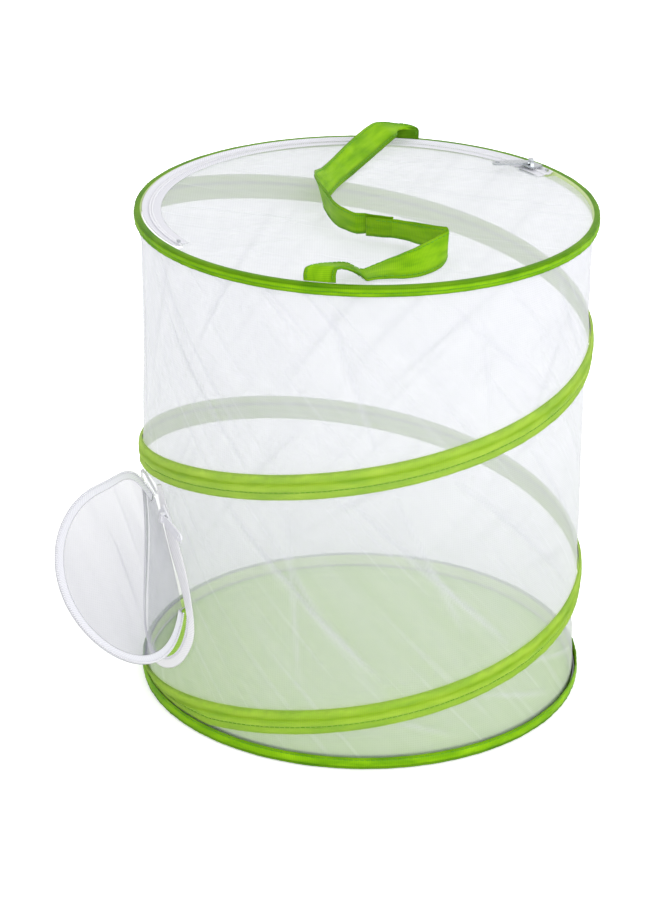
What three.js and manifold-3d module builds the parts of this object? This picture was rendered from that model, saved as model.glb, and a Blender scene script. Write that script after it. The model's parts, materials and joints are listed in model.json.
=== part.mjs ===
// Pop-up insect cage: a net cylinder held up by a coiled spring-steel wire between two hoops.
// Millimetres, +Z up. The origin is the centre of the floor panel's underside.
// Azimuths are degrees about +Z: 0 is +X, 90 is the back (+Y), -90 is the front, 180 is the left.
import * as THREE from "three";
import Module from "manifold-3d";
import { mergeVertices } from "three/addons/utils/BufferGeometryUtils.js";

const wasm = await Module();
wasm.setup();

// Driving dimensions of the cage
const cageRadius = 152.5;
const cageHeight = 336.5;
const clearance = 0.3;
const cutOverrun = 10;
const turnSteps = 72;
const fullTurn = 360;

// Spring-steel wire and the crimp sleeve that joins a hoop's ends
const wireDiameter = 1.8;
const wireSides = 6;
const hoopEndGap = 1;
const sleeveLength = 14;
const sleeveWall = 0.3;
const sleeveClearance = 0.2;
const hoopJoinAzimuth = 100;

// Woven tape that binds the rings, folded over the wire and the net's edge
const tapeThickness = 0.8;
const bindingWidth = 5;
const topBindingHeight = 7.2;
const baseBindingHeight = 9;

// Net panels and the solid floor panel
const netThickness = 0.6;
const floorThickness = 1;

// The spiral: a tape casing round the coiled wire, from the left of the top ring to the base ring
const casingHeight = 18;
const casingWall = 0.7;
const casingLip = 0.8;
const spiralStartAzimuth = 165;
const spiralSweepAngle = 675;
const spiralStartDrop = 10.5;
const spiralEndHeight = 10;
const spiralWireRise = 2.5;
const spiralSteps = 112;

// Zip: two tapes, a row of teeth on each, and the gap between the rows that the slider's post runs in
const zipTapeThickness = 0.6;
const zipTapeWidth = 6;
const zipTeethWidth = 1.6;
const zipTeethHeight = 1.2;
const zipGap = 1.2;

// Lid: the loose side swings on a straight fold between the ends of its zip
const lidDrop = 2;
const lidZipInset = 6.5;
const lidZipStartAngle = 30;
const lidFoldStartAngle = 44;
const lidZipEndAngle = 214;
const lidZipMarginAngle = 0.5;

// Door: an oval net flap low on the left of the wall, with its zip round three sides
const doorAzimuth = -162.5;
const doorDrop = 5.7;
const doorHalfWidth = 56.5;
const doorSill = 24;
const doorFoldTopAngle = 68;
const doorFoldBottomAngle = -8;
const doorOpenAngle = 123;
const doorAxisStandOff = 1.4;
const doorFrameTapeWidth = 8;
const doorFrameTopTapeWidth = 1.4;
const doorZipMarginAngle = 3;
const doorSteps = 40;

// Zip sliders, pulls and stops
const sliderLength = 14;
const sliderWidth = 9.2;
const sliderPlate = 1.2;
const sliderPostLength = 3;
const lugThickness = 1;
const lugGap = 4.8;
const lugLength = 2.4;
const pinDiameter = 1;
const pinRise = 2.1;
const pullLength = 27;
const pullWidth = 7;
const pullThickness = 1.2;
const pullEye = 2.8;
const pullHoleRadius = 1.6;
const pinClearance = 0.3;
const lidSliderAzimuth = 37;
const lidPullSkewAngle = 28;
const doorSliderAngle = 53;
const doorPullSkewAngle = 118;
const stopLength = 2.4;
const stopHeight = 1.6;
const roundSteps = 8;

// Carrying strap: two lengths of doubled tape that lap in the middle and stand on edge on the lid
const strapWidth = 20.3;
const strapThickness = 1.6;
const strapSteps = 40;
const strapLapShare = 0.028;
const strapJoinShare = 0.487;
const strapEndShare = 0.04;
const strapCurveSamples = 400;

// Radii and heights that follow from the sizes above
const bindingInner = cageRadius - bindingWidth;
const hoopRadius = cageRadius - bindingWidth / 2;
const wireRadius = wireDiameter / 2;
const netInner = bindingInner + tapeThickness + clearance;
const netOuter = netInner + netThickness;
const panelRadius = bindingInner - clearance;
const lidZipRadius = bindingInner - lidZipInset;
const sleeveBore = wireRadius + sleeveClearance;
const sleeveRadius = sleeveBore + sleeveWall;
const baseWireHeight = tapeThickness + clearance + sleeveRadius;
const topWireHeight = cageHeight - baseWireHeight;
const topBindingBottom = cageHeight - topBindingHeight;
const wallBottom = baseWireHeight + sleeveRadius + clearance;
const wallTop = topWireHeight - sleeveRadius - clearance;
const casingOuter = cageRadius;
const casingInner = netOuter + clearance;
const spiralWireRadius = (casingInner + casingOuter - casingWall) / 2;
const lidTop = cageHeight - lidDrop;
const lidBottom = lidTop - netThickness;
const lidTapeBottom = lidTop + clearance;
const lidTapeTop = lidTapeBottom + zipTapeThickness;
const lidTeethTop = lidTapeTop + clearance + zipTeethHeight;
const doorTapeInner = netOuter + clearance;
const doorTapeOuter = doorTapeInner + zipTapeThickness;
const doorTeethInner = doorTapeOuter + clearance;
const doorTeethOuter = doorTeethInner + zipTeethHeight;
const strapFoot = lidTop + clearance;
const spiralStartHeight = cageHeight - spiralStartDrop;
const doorSpiralShare = (spiralStartAzimuth - doorAzimuth) / spiralSweepAngle;
const doorTop = spiralHeight(doorSpiralShare) - casingHeight / 2 - doorDrop;
const doorBottom = baseBindingHeight + doorSill;
const doorHalfHeight = (doorTop - doorBottom) / 2;
const doorCentreHeight = doorBottom + doorHalfHeight;

const radians = THREE.MathUtils.degToRad;

// Materials, with the colours of the photographed cage
const green = new THREE.MeshStandardMaterial({ color: 0x7cc21e, roughness: 0.7, metalness: 0 });
const whiteNet = new THREE.MeshStandardMaterial({ color: 0xeeeef2, roughness: 0.8, metalness: 0 });
const whiteTape = new THREE.MeshStandardMaterial({ color: 0xf4f4f6, roughness: 0.75, metalness: 0 });
const whiteTeeth = new THREE.MeshStandardMaterial({ color: 0xe8e8ea, roughness: 0.4, metalness: 0 });
const steel = new THREE.MeshStandardMaterial({ color: 0x9a9da0, roughness: 0.35, metalness: 1 });

const cage = new THREE.Group();

function add(name, geometry, material) {
  const mesh = new THREE.Mesh(geometry, material);
  mesh.name = name;
  cage.add(mesh);
  return mesh;
}

// A point at a radius, azimuth and height
function polar(radius, azimuth, height) {
  const angle = radians(azimuth);
  return new THREE.Vector3(radius * Math.cos(angle), radius * Math.sin(angle), height);
}

// Six times the signed volume: below zero when the faces point inwards
function signedVolume(points, faces) {
  let sum = 0;
  const normal = new THREE.Vector3();
  for (const [a, b, c] of faces) {
    sum += points[a].dot(normal.crossVectors(points[b], points[c]));
  }
  return sum;
}

function geometryFrom(points, faces) {
  const outward = signedVolume(points, faces) > 0;
  const index = faces.flatMap(([a, b, c]) => (outward ? [a, b, c] : [a, c, b]));
  const geometry = new THREE.BufferGeometry();
  geometry.setAttribute("position", new THREE.Float32BufferAttribute(points.flatMap((p) => p.toArray()), 3));
  geometry.setIndex(index);
  return geometry;
}

// Skins a row of equal rings of points. A closed row joins its last ring to its first; a row with an outline
// is capped at both ends with the triangles of that outline.
function loftGeometry(rings, outline = null) {
  const count = rings[0].length;
  const points = rings.flat();
  const sides = [];
  const rows = outline ? rings.length - 1 : rings.length;
  for (let i = 0; i < rows; i += 1) {
    const here = i * count;
    const next = ((i + 1) % rings.length) * count;
    for (let j = 0; j < count; j += 1) {
      const k = (j + 1) % count;
      sides.push([here + j, next + j, next + k], [here + j, next + k, here + k]);
    }
  }
  if (!outline) return geometryFrom(points, sides);
  const last = (rings.length - 1) * count;
  const triangles = THREE.ShapeUtils.triangulateShape(outline, []);
  const caps = triangles.flatMap(([a, b, c]) => [[c, b, a], [last + a, last + b, last + c]]);
  const edgesOf = ([a, b, c]) => [`${a},${b}`, `${b},${c}`, `${c},${a}`];
  const sideEdges = new Set(sides.flatMap(edgesOf));
  const against = caps.some((face) => edgesOf(face).some((edge) => sideEdges.has(edge)));
  const wound = against ? caps.map(([a, b, c]) => [a, c, b]) : caps;
  return geometryFrom(points, [...sides, ...wound]);
}

function steps(count) {
  return Array.from({ length: count + 1 }, (unused, i) => i / count);
}

// Revolves a closed outline of (radius, height) pairs about Z
function revolved(outline) {
  const azimuths = steps(turnSteps).slice(1).map((share) => share * fullTurn);
  return loftGeometry(azimuths.map((azimuth) => outline.map(([r, z]) => polar(r, azimuth, z))));
}

// Extrudes a flat shape, whose arcs sweep through an angle, from one height to another.
// An arc gets two steps for each curve segment, hence the half.
function slab(shape, sweep, bottom, top) {
  const geometry = new THREE.ExtrudeGeometry(shape, {
    depth: top - bottom, bevelEnabled: false, curveSegments: Math.ceil((turnSteps * sweep) / fullTurn / 2),
  });
  return geometry.translate(0, 0, bottom);
}

function box(width, length, low, high) {
  return new THREE.BoxGeometry(width, length, high - low).translate(0, 0, (low + high) / 2);
}

// Solid modelling: geometry to manifold and back
function solid(geometry) {
  const bare = geometry.clone();
  bare.deleteAttribute("normal");
  bare.deleteAttribute("uv");
  const merged = mergeVertices(bare, clearance / 1000);
  return new wasm.Manifold(new wasm.Mesh({
    numProp: 3,
    vertProperties: Float32Array.from(merged.attributes.position.array),
    triVerts: Uint32Array.from(merged.index.array),
  }));
}

function geometryOf(manifold) {
  const mesh = manifold.getMesh();
  const geometry = new THREE.BufferGeometry();
  geometry.setAttribute("position", new THREE.BufferAttribute(mesh.vertProperties, 3));
  geometry.setIndex(new THREE.BufferAttribute(mesh.triVerts, 1));
  return geometry;
}

// Rings of points round the wire's centre at an azimuth, for a hoop or its sleeve
function hoopRing(radius, azimuth, height) {
  return steps(wireSides).slice(1).map((share) => {
    const turn = share * 2 * Math.PI;
    return polar(hoopRadius + radius * Math.cos(turn), azimuth, height + radius * Math.sin(turn));
  });
}

// A hoop with a small gap between its ends, and the crimp sleeve over the gap
function addHoop(name, height) {
  const gapAngle = THREE.MathUtils.radToDeg(hoopEndGap / hoopRadius);
  const circle = Array.from({ length: wireSides }, (unused, i) => {
    const turn = ((i + 1) / wireSides) * 2 * Math.PI;
    return new THREE.Vector2(Math.cos(turn), Math.sin(turn));
  });
  const start = hoopJoinAzimuth + gapAngle / 2;
  const sweep = fullTurn - gapAngle;
  const rings = steps(turnSteps).map((share) => hoopRing(wireRadius, start + share * sweep, height));
  add(`${name}_hoop_wire`, loftGeometry(rings, circle), steel);

  const halfSleeve = THREE.MathUtils.radToDeg(sleeveLength / 2 / hoopRadius);
  const places = [-1, 0, 1].map((side) => hoopJoinAzimuth + side * halfSleeve);
  const outside = places.map((azimuth) => hoopRing(sleeveRadius, azimuth, height));
  const inside = places.map((azimuth) => hoopRing(sleeveBore, azimuth, height)).reverse();
  add(`${name}_hoop_sleeve`, loftGeometry([...outside, ...inside]), steel);
}

// The rings: tape folded in a U over the hoop, open towards the net wall
function bindingOutline(edge, lip) {
  const inward = Math.sign(lip - edge) * tapeThickness;
  return [
    [bindingInner, edge], [cageRadius, edge], [cageRadius, lip], [cageRadius - tapeThickness, lip],
    [cageRadius - tapeThickness, edge + inward], [bindingInner + tapeThickness, edge + inward],
    [bindingInner + tapeThickness, lip], [bindingInner, lip],
  ];
}

addHoop("base", baseWireHeight);
addHoop("top", topWireHeight);
add("base_binding", revolved(bindingOutline(0, baseBindingHeight)), green);
add("top_binding", revolved(bindingOutline(cageHeight, topBindingBottom)), green);
add("floor_panel",
  new THREE.CylinderGeometry(panelRadius, panelRadius, floorThickness, turnSteps)
    .rotateX(Math.PI / 2).translate(0, 0, floorThickness / 2), green);

// Height of the spiral's middle after a share of its whole sweep
function spiralHeight(share) {
  return THREE.MathUtils.lerp(spiralStartHeight, spiralEndHeight, share);
}

// The casing is a channel open towards the net; its edges stop at the ring bindings that it runs under
function casingRing(share) {
  const azimuth = spiralStartAzimuth - share * spiralSweepAngle;
  const top = Math.min(spiralHeight(share) + casingHeight / 2, topBindingBottom - clearance);
  const bottom = Math.max(spiralHeight(share) - casingHeight / 2, baseBindingHeight + clearance);
  const wall = casingOuter - casingWall;
  return [
    [casingInner, bottom], [casingOuter, bottom], [casingOuter, top], [casingInner, top],
    [casingInner, top - casingLip], [wall, top - casingLip], [wall, bottom + casingLip],
    [casingInner, bottom + casingLip],
  ].map(([r, z]) => polar(r, azimuth, z));
}

const casingOutline = [
  [casingInner, 0], [casingOuter, 0], [casingOuter, casingHeight], [casingInner, casingHeight],
  [casingInner, casingHeight - casingLip], [casingOuter - casingWall, casingHeight - casingLip],
  [casingOuter - casingWall, casingLip], [casingInner, casingLip],
].map(([r, z]) => new THREE.Vector2(r, z));
add("spiral_casing", loftGeometry(steps(spiralSteps).map(casingRing), casingOutline), green);

// The wire starts where it clears the top binding's casing lip and ends above the base binding
const wireRoom = casingLip + clearance + wireRadius;
const spiralFall = spiralStartHeight - spiralEndHeight;
const wireStartHeight = topBindingBottom - clearance - wireRoom - spiralWireRise;
const wireStartShare = (spiralStartHeight - wireStartHeight) / spiralFall;
const spiralCircle = steps(wireSides).slice(1).map((share) =>
  new THREE.Vector2(Math.cos(share * 2 * Math.PI), Math.sin(share * 2 * Math.PI)));

function spiralWireRing(share) {
  const azimuth = spiralStartAzimuth - share * spiralSweepAngle;
  const height = spiralHeight(share) + spiralWireRise;
  return spiralCircle.map(({ x, y }) =>
    polar(spiralWireRadius + wireRadius * x, azimuth, height + wireRadius * y));
}

const spiralWireRings = steps(spiralSteps).map((share) =>
  spiralWireRing(THREE.MathUtils.lerp(wireStartShare, 1, share)));
add("spiral_wire", loftGeometry(spiralWireRings, spiralCircle), steel);

// Door: places on the wall are an arc length round from the door's middle and a height
function onWall(radius, [along, height]) {
  return polar(radius, doorAzimuth + THREE.MathUtils.radToDeg(along / netOuter), height);
}

// A point of the door's oval, pushed outwards by an offset
function ovalPoint(angle, offset = 0) {
  const turn = radians(angle);
  return [
    (doorHalfWidth + offset) * Math.cos(turn),
    doorCentreHeight + (doorHalfHeight + offset) * Math.sin(turn),
  ];
}

const foldTop = ovalPoint(doorFoldTopAngle);
const foldBottom = ovalPoint(doorFoldBottomAngle);
const foldLength = Math.hypot(foldTop[0] - foldBottom[0], foldTop[1] - foldBottom[1]);
// Unit direction in the wall, square to the fold and towards the door
const foldInward = [
  (foldBottom[1] - foldTop[1]) / foldLength,
  (foldTop[0] - foldBottom[0]) / foldLength,
];

// A point on the fold line at a share of its length, moved into the door by a gap
function foldPoint(share, gap) {
  return [0, 1].map((i) =>
    THREE.MathUtils.lerp(foldTop[i], foldBottom[i], share) + foldInward[i] * gap);
}

// The hinge line stands just off the wall's outer face, so the flap folds outwards clear of it
const hingeTop = onWall(netOuter + doorAxisStandOff, foldTop);
const hingeBottom = onWall(netOuter + doorAxisStandOff, foldBottom);
const hingeDirection = hingeBottom.clone().sub(hingeTop).normalize();

function openDoor(geometry) {
  return geometry
    .translate(-hingeTop.x, -hingeTop.y, -hingeTop.z)
    .applyMatrix4(new THREE.Matrix4().makeRotationAxis(hingeDirection, -radians(doorOpenAngle)))
    .translate(hingeTop.x, hingeTop.y, hingeTop.z);
}

// A strip of shell between two rows of wall places, with extra points across so that it follows the wall
function wallStrip(nearRow, farRow, inner, outer, across) {
  const rings = nearRow.map((near, i) => {
    const places = steps(across).map((share) =>
      [0, 1].map((k) => THREE.MathUtils.lerp(near[k], farRow[i][k], share)));
    return [...places.map((p) => onWall(inner, p)), ...places.reverse().map((p) => onWall(outer, p))];
  });
  const outline = [
    ...steps(across).map((share) => new THREE.Vector2(share * doorHalfWidth, inner)),
    ...steps(across).reverse().map((share) => new THREE.Vector2(share * doorHalfWidth, outer)),
  ];
  return loftGeometry(rings, outline);
}

const flapStart = doorFoldTopAngle + doorZipMarginAngle;
const flapSweep = fullTurn + doorFoldBottomAngle - doorZipMarginAngle - flapStart;
const flapAngles = steps(doorSteps).map((share) => flapStart + share * flapSweep);
const halfGap = zipGap / 2;
const flapAcross = 4;

add("door_flap_net", openDoor(wallStrip(
  steps(doorSteps).map((share) => foldPoint(share, clearance)),
  flapAngles.map((angle) => ovalPoint(angle, -halfGap)),
  netInner, netOuter, flapAcross)), whiteNet);
add("door_flap_tape", openDoor(wallStrip(
  flapAngles.map((angle) => ovalPoint(angle, -halfGap - zipTapeWidth)),
  flapAngles.map((angle) => ovalPoint(angle, -halfGap)),
  doorTapeInner, doorTapeOuter, 1)), whiteTape);
add("door_flap_teeth", openDoor(wallStrip(
  flapAngles.map((angle) => ovalPoint(angle, -halfGap - zipTeethWidth)),
  flapAngles.map((angle) => ovalPoint(angle, -halfGap)),
  doorTeethInner, doorTeethOuter, 1)), whiteTeeth);

// The frame's tape narrows at the top, where it meets the spiral's casing
function frameTapeWidth(angle) {
  const rise = Math.max(0, Math.sin(radians(angle)));
  return THREE.MathUtils.lerp(doorFrameTapeWidth, doorFrameTopTapeWidth, rise);
}

add("door_frame_tape", wallStrip(
  flapAngles.map((angle) => ovalPoint(angle, halfGap)),
  flapAngles.map((angle) => ovalPoint(angle, halfGap + frameTapeWidth(angle))),
  doorTapeInner, doorTapeOuter, 1), whiteTape);
add("door_frame_teeth", wallStrip(
  flapAngles.map((angle) => ovalPoint(angle, halfGap)),
  flapAngles.map((angle) => ovalPoint(angle, halfGap + Math.min(zipTeethWidth, frameTapeWidth(angle)))),
  doorTeethInner, doorTeethOuter, 1), whiteTeeth);

// A tape on the wall covers the sewn fold that the flap turns on
add("door_fold_tape", wallStrip(
  steps(doorSteps).map((share) => foldPoint(share, -clearance)),
  steps(doorSteps).map((share) => foldPoint(share, -clearance - doorFrameTapeWidth)),
  doorTapeInner, doorTapeOuter, 1), whiteTape);

// The net wall, with the door's opening cut through it
const wallShell = solid(revolved([
  [netInner, wallBottom], [netOuter, wallBottom], [netOuter, wallTop], [netInner, wallTop],
]));
const openingPoints = [
  foldPoint(0, -clearance),
  ...steps(doorSteps).map((share) =>
    ovalPoint(THREE.MathUtils.lerp(doorFoldTopAngle, fullTurn + doorFoldBottomAngle, share), halfGap)),
  foldPoint(1, -clearance),
].map(([along, height]) => new THREE.Vector2(netOuter * Math.sin(along / netOuter), height));
const openingCut = new THREE.ExtrudeGeometry(new THREE.Shape(openingPoints), {
  depth: netOuter / 2 + cutOverrun, bevelEnabled: false,
});
// The shape's first axis goes round the wall, its second up, and the cut runs out along the door's azimuth
const outDirection = polar(1, doorAzimuth, 0);
const roundDirection = polar(1, doorAzimuth + 90, 0);
const cutFrame = new THREE.Matrix4().makeBasis(roundDirection, new THREE.Vector3(0, 0, 1), outDirection);
openingCut.translate(0, 0, netOuter / 2).applyMatrix4(cutFrame);
add("wall_net", geometryOf(wallShell.subtract(solid(openingCut))), whiteNet);

// Lid: a fixed panel, and a loose flap beyond the straight fold between the zip's two ends
const foldA = polar(lidZipRadius, lidFoldStartAngle, 0);
const foldB = polar(lidZipRadius, lidZipEndAngle, 0);
const foldAlong = foldB.clone().sub(foldA).normalize();
const foldSide = new THREE.Vector3(foldAlong.y, -foldAlong.x, 0);

// An arc-shaped slab between two radii, two azimuths and two heights
function sector(inner, outer, from, to, bottom, top) {
  const shape = new THREE.Shape();
  shape.absarc(0, 0, outer, radians(from), radians(to), false);
  shape.absarc(0, 0, inner, radians(to), radians(from), true);
  return slab(shape, to - from, bottom, top);
}

// The part of the lid's disc on one side of a chord that lies a gap beyond the fold
function lidSegment(radius, gap, side) {
  const half = Math.acos((foldA.dot(foldSide) + gap) / radius);
  const middle = Math.atan2(foldSide.y, foldSide.x);
  const shape = new THREE.Shape();
  shape.absarc(0, 0, radius, middle - side * half, middle + side * half, false);
  shape.closePath();
  const sweep = THREE.MathUtils.radToDeg(side > 0 ? 2 * half : 2 * (Math.PI - half));
  return slab(shape, sweep, lidBottom, lidTop);
}

const zipInner = lidZipRadius - halfGap;
const zipOuter = lidZipRadius + halfGap;
add("lid_flap_net", lidSegment(zipInner, clearance, 1), whiteNet);

const zipSlot = sector(zipInner, panelRadius + cutOverrun,
  lidZipStartAngle - lidZipMarginAngle, lidZipEndAngle + lidZipMarginAngle,
  lidBottom - cutOverrun, lidTop + cutOverrun);
const fixedPanel = solid(lidSegment(panelRadius, -clearance, -1)).subtract(solid(zipSlot));
add("lid_panel", geometryOf(fixedPanel), whiteNet);

// Turns an azimuth by a distance along the lid's zip
function zipAzimuth(azimuth, distance) {
  return azimuth + THREE.MathUtils.radToDeg(distance / lidZipRadius);
}

const flapZipStart = lidFoldStartAngle + lidZipMarginAngle * 2;
const flapZipEnd = lidZipEndAngle - lidZipMarginAngle * 2;
const tapeInner = zipInner - zipTapeWidth;
const teethInner = zipInner - zipTeethWidth;
const teethOuter = zipOuter + zipTeethWidth;
const lidTeethBottom = lidTapeTop + clearance;
add("lid_rim_tape",
  sector(zipOuter, panelRadius, lidZipStartAngle, lidZipEndAngle, lidTapeBottom, lidTapeTop), whiteTape);
add("lid_rim_teeth",
  sector(zipOuter, teethOuter, lidZipStartAngle, lidZipEndAngle, lidTeethBottom, lidTeethTop), whiteTeeth);
add("lid_flap_tape",
  sector(tapeInner, zipInner, flapZipStart, flapZipEnd, lidTapeBottom, lidTapeTop), whiteTape);
add("lid_flap_teeth",
  sector(teethInner, zipInner, flapZipStart, flapZipEnd, lidTeethBottom, lidTeethTop), whiteTeeth);
add("lid_end_tape",
  sector(tapeInner, zipInner, lidZipStartAngle, lidFoldStartAngle, lidTapeBottom, lidTapeTop), whiteTape);
add("lid_end_teeth",
  sector(teethInner, zipInner, lidZipStartAngle, lidFoldStartAngle, lidTeethBottom, lidTeethTop), whiteTeeth);

// Stops across the rim's teeth at both ends of the zip, clear of the slider at the closed end
function addLidStop(name, azimuth) {
  const bottom = lidTeethTop + clearance;
  const end = zipAzimuth(azimuth, stopLength);
  add(name, sector(zipOuter, teethOuter, azimuth, end, bottom, bottom + stopHeight), steel);
}

addLidStop("lid_stop_closed", zipAzimuth(lidZipStartAngle, clearance));
addLidStop("lid_stop_open", zipAzimuth(lidZipEndAngle, -stopLength - clearance));

// A slider in its own frame: x across the zip, y along it, z away from the tape. Zero is the teeth's top.
function sliderGeometry(skew, post) {
  const low = clearance;
  const high = low + sliderPlate;
  const pinHeight = high + pinRise;
  const lugWidth = lugGap / 2 + lugThickness;
  const turned = (geometry) => geometry.rotateZ(radians(skew));
  let body = solid(box(sliderWidth, sliderLength, low, high));
  for (const side of [-1, 1]) {
    const lug = box(lugLength, lugThickness, low, pinHeight + pinDiameter);
    lug.translate(0, side * (lugWidth - lugThickness / 2), 0);
    body = body.add(solid(turned(lug)));
  }
  const pinLength = lugWidth * 2 - lugThickness;
  const pin = new THREE.CylinderGeometry(pinDiameter / 2, pinDiameter / 2, pinLength, roundSteps);
  body = body.add(solid(turned(pin.translate(0, 0, pinHeight))));
  for (const { width, length, bottom, top } of post) {
    body = body.add(solid(box(width, length, bottom, top)));
  }
  return geometryOf(body);
}

// The pull lies across the zip from the pin, with an eye round the pin and a hole near its free end
function pullGeometry(skew) {
  const pinHeight = clearance + sliderPlate + pinRise;
  const eyeWidth = lugGap - clearance * 2;
  const eye = solid(box(pullEye, eyeWidth, pinHeight - pullEye / 2, pinHeight + pullEye / 2));
  const bore = pinDiameter / 2 + pinClearance;
  const hole = new THREE.CylinderGeometry(bore, bore, eyeWidth + cutOverrun, roundSteps);
  hole.translate(0, 0, pinHeight);
  const bottom = pinHeight - pullEye / 2;
  const neck = solid(box(pullEye, eyeWidth, bottom, bottom + pullThickness).translate(-pullEye, 0, 0));
  const blade = new THREE.Shape();
  const tip = -pullLength + pullWidth / 2;
  blade.moveTo(-pullEye, -eyeWidth / 2);
  blade.lineTo(-pullEye, eyeWidth / 2);
  blade.lineTo(-pullEye - pullWidth / 2, pullWidth / 2);
  blade.absarc(tip, 0, pullWidth / 2, Math.PI / 2, Math.PI * 3 / 2, false);
  blade.lineTo(-pullEye - pullWidth / 2, -pullWidth / 2);
  blade.holes.push(new THREE.Path().absarc(tip, 0, pullHoleRadius, 0, Math.PI * 2, true));
  const plate = new THREE.ExtrudeGeometry(blade, {
    depth: pullThickness, bevelEnabled: false, curveSegments: roundSteps,
  });
  const body = eye.add(neck).add(solid(plate.translate(0, 0, bottom))).subtract(solid(hole));
  return geometryOf(body).rotateZ(radians(skew));
}

// Lid slider: a plate over the teeth and one under the net, joined by a post in the gap between the rows
const lidPost = [
  { width: zipGap - clearance * 2, length: sliderPostLength, bottom: lidBottom - sliderPlate - lidTeethTop,
    top: clearance + sliderPlate },
  { width: sliderWidth, length: sliderLength, bottom: lidBottom - clearance - sliderPlate - lidTeethTop,
    top: lidBottom - clearance - lidTeethTop },
];
const lidSliderPlace = polar(lidZipRadius, lidSliderAzimuth, lidTeethTop);

function placeOnLid(mesh) {
  mesh.position.copy(lidSliderPlace);
  mesh.rotation.z = radians(lidSliderAzimuth);
}

placeOnLid(add("lid_slider", sliderGeometry(-lidPullSkewAngle, lidPost), steel));
placeOnLid(add("lid_pull", pullGeometry(-lidPullSkewAngle), steel));

// Door slider: parked past the end of the zip, on the tape that covers the fold
const doorSliderSpot = ovalPoint(doorSliderAngle, 0);
const ovalStepAngle = 1;
const doorSliderAhead = ovalPoint(doorSliderAngle + ovalStepAngle, 0);
const doorSliderBase = onWall(doorTapeOuter, doorSliderSpot);
const alongZip = onWall(doorTapeOuter, doorSliderAhead).sub(doorSliderBase).normalize();
const awayFromWall = new THREE.Vector3(doorSliderBase.x, doorSliderBase.y, 0).normalize();
const acrossZip = new THREE.Vector3().crossVectors(alongZip, awayFromWall).normalize();
const doorSliderFrame = new THREE.Matrix4().makeBasis(acrossZip, alongZip, awayFromWall);
doorSliderFrame.setPosition(doorSliderBase);

function placeOnDoor(geometry) {
  return geometry.applyMatrix4(doorSliderFrame);
}

add("door_slider", placeOnDoor(sliderGeometry(doorPullSkewAngle, [])), whiteTeeth);
add("door_pull", placeOnDoor(pullGeometry(doorPullSkewAngle)), whiteTeeth);

// Strap: the edge that stands on the lid and the edge above it, from the front ring to the back ring.
// Shares of the cage's radius across the lid, and of the strap's width above its foot.
const strapLowShares = [
  [-0.129, -0.965, 0.09], [-0.129, -0.964, 0.38], [-0.121, -0.96, 0.52], [-0.096, -0.954, 0.54],
  [-0.06, -0.941, 0.42], [-0.033, -0.926, 0.24], [-0.004, -0.909, 0.05], [0.048, -0.894, 0.02],
  [0.122, -0.888, 0.02], [0.192, -0.866, 0.02], [0.254, -0.807, 0.02], [0.291, -0.748, 0.02],
  [0.313, -0.676, 0.02], [0.312, -0.583, 0.02], [0.229, -0.489, 0.02], [0.12, -0.406, 0.02],
  [-0.01, -0.371, 0.02], [-0.069, -0.332, 0.02], [-0.119, -0.266, 0.02], [-0.147, -0.199, 0.02],
  [-0.169, -0.103, 0.02], [-0.181, -0.01, 0.02], [-0.168, 0.093, 0.02], [-0.127, 0.243, 0.02],
  [-0.073, 0.385, 0.04], [-0.02, 0.511, 0.09], [0.038, 0.638, 0.18], [0.089, 0.741, 0.28],
  [0.115, 0.784, 0.35], [0.132, 0.805, 0.42], [0.141, 0.837, 0.43], [0.125, 0.89, 0.46],
  [0.116, 0.957, 0.37], [0.1136, 0.967, 0.09],
];
const strapHighShares = [
  [-0.262, -0.938, 0.09], [-0.262, -0.937, 0.33], [-0.254, -0.932, 0.49], [-0.215, -0.915, 0.53],
  [-0.16, -0.88, 0.48], [-0.094, -0.831, 0.36], [-0.026, -0.79, 0.05], [0.046, -0.763, 0.21],
  [0.119, -0.769, 0.46], [0.178, -0.767, 0.67], [0.227, -0.725, 0.73], [0.275, -0.68, 0.78],
  [0.321, -0.638, 0.83], [0.308, -0.609, 0.87], [0.235, -0.552, 0.9], [0.12, -0.481, 0.85],
  [-0.012, -0.442, 0.86], [-0.082, -0.389, 0.92], [-0.127, -0.32, 0.93], [-0.152, -0.249, 0.95],
  [-0.18, -0.14, 0.98], [-0.208, -0.032, 0.98], [-0.229, 0.129, 0.86], [-0.2, 0.337, 0.47],
  [-0.152, 0.473, 0.5], [-0.101, 0.59, 0.62], [-0.051, 0.706, 0.71], [-0.002, 0.811, 0.78],
  [0.034, 0.871, 0.81], [0.081, 0.919, 0.76], [0.143, 0.968, 0.59], [0.203, 0.964, 0.51],
  [0.243, 0.944, 0.39], [0.2465, 0.9385, 0.09],
];

function strapCurve(shares) {
  const points = shares.map(([x, y, lift]) =>
    new THREE.Vector3(x * cageRadius, y * cageRadius, strapFoot + lift * strapWidth));
  return new THREE.CatmullRomCurve3(points, false, "centripetal");
}

const strapLow = strapCurve(strapLowShares);
const strapHigh = strapCurve(strapHighShares);

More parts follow.
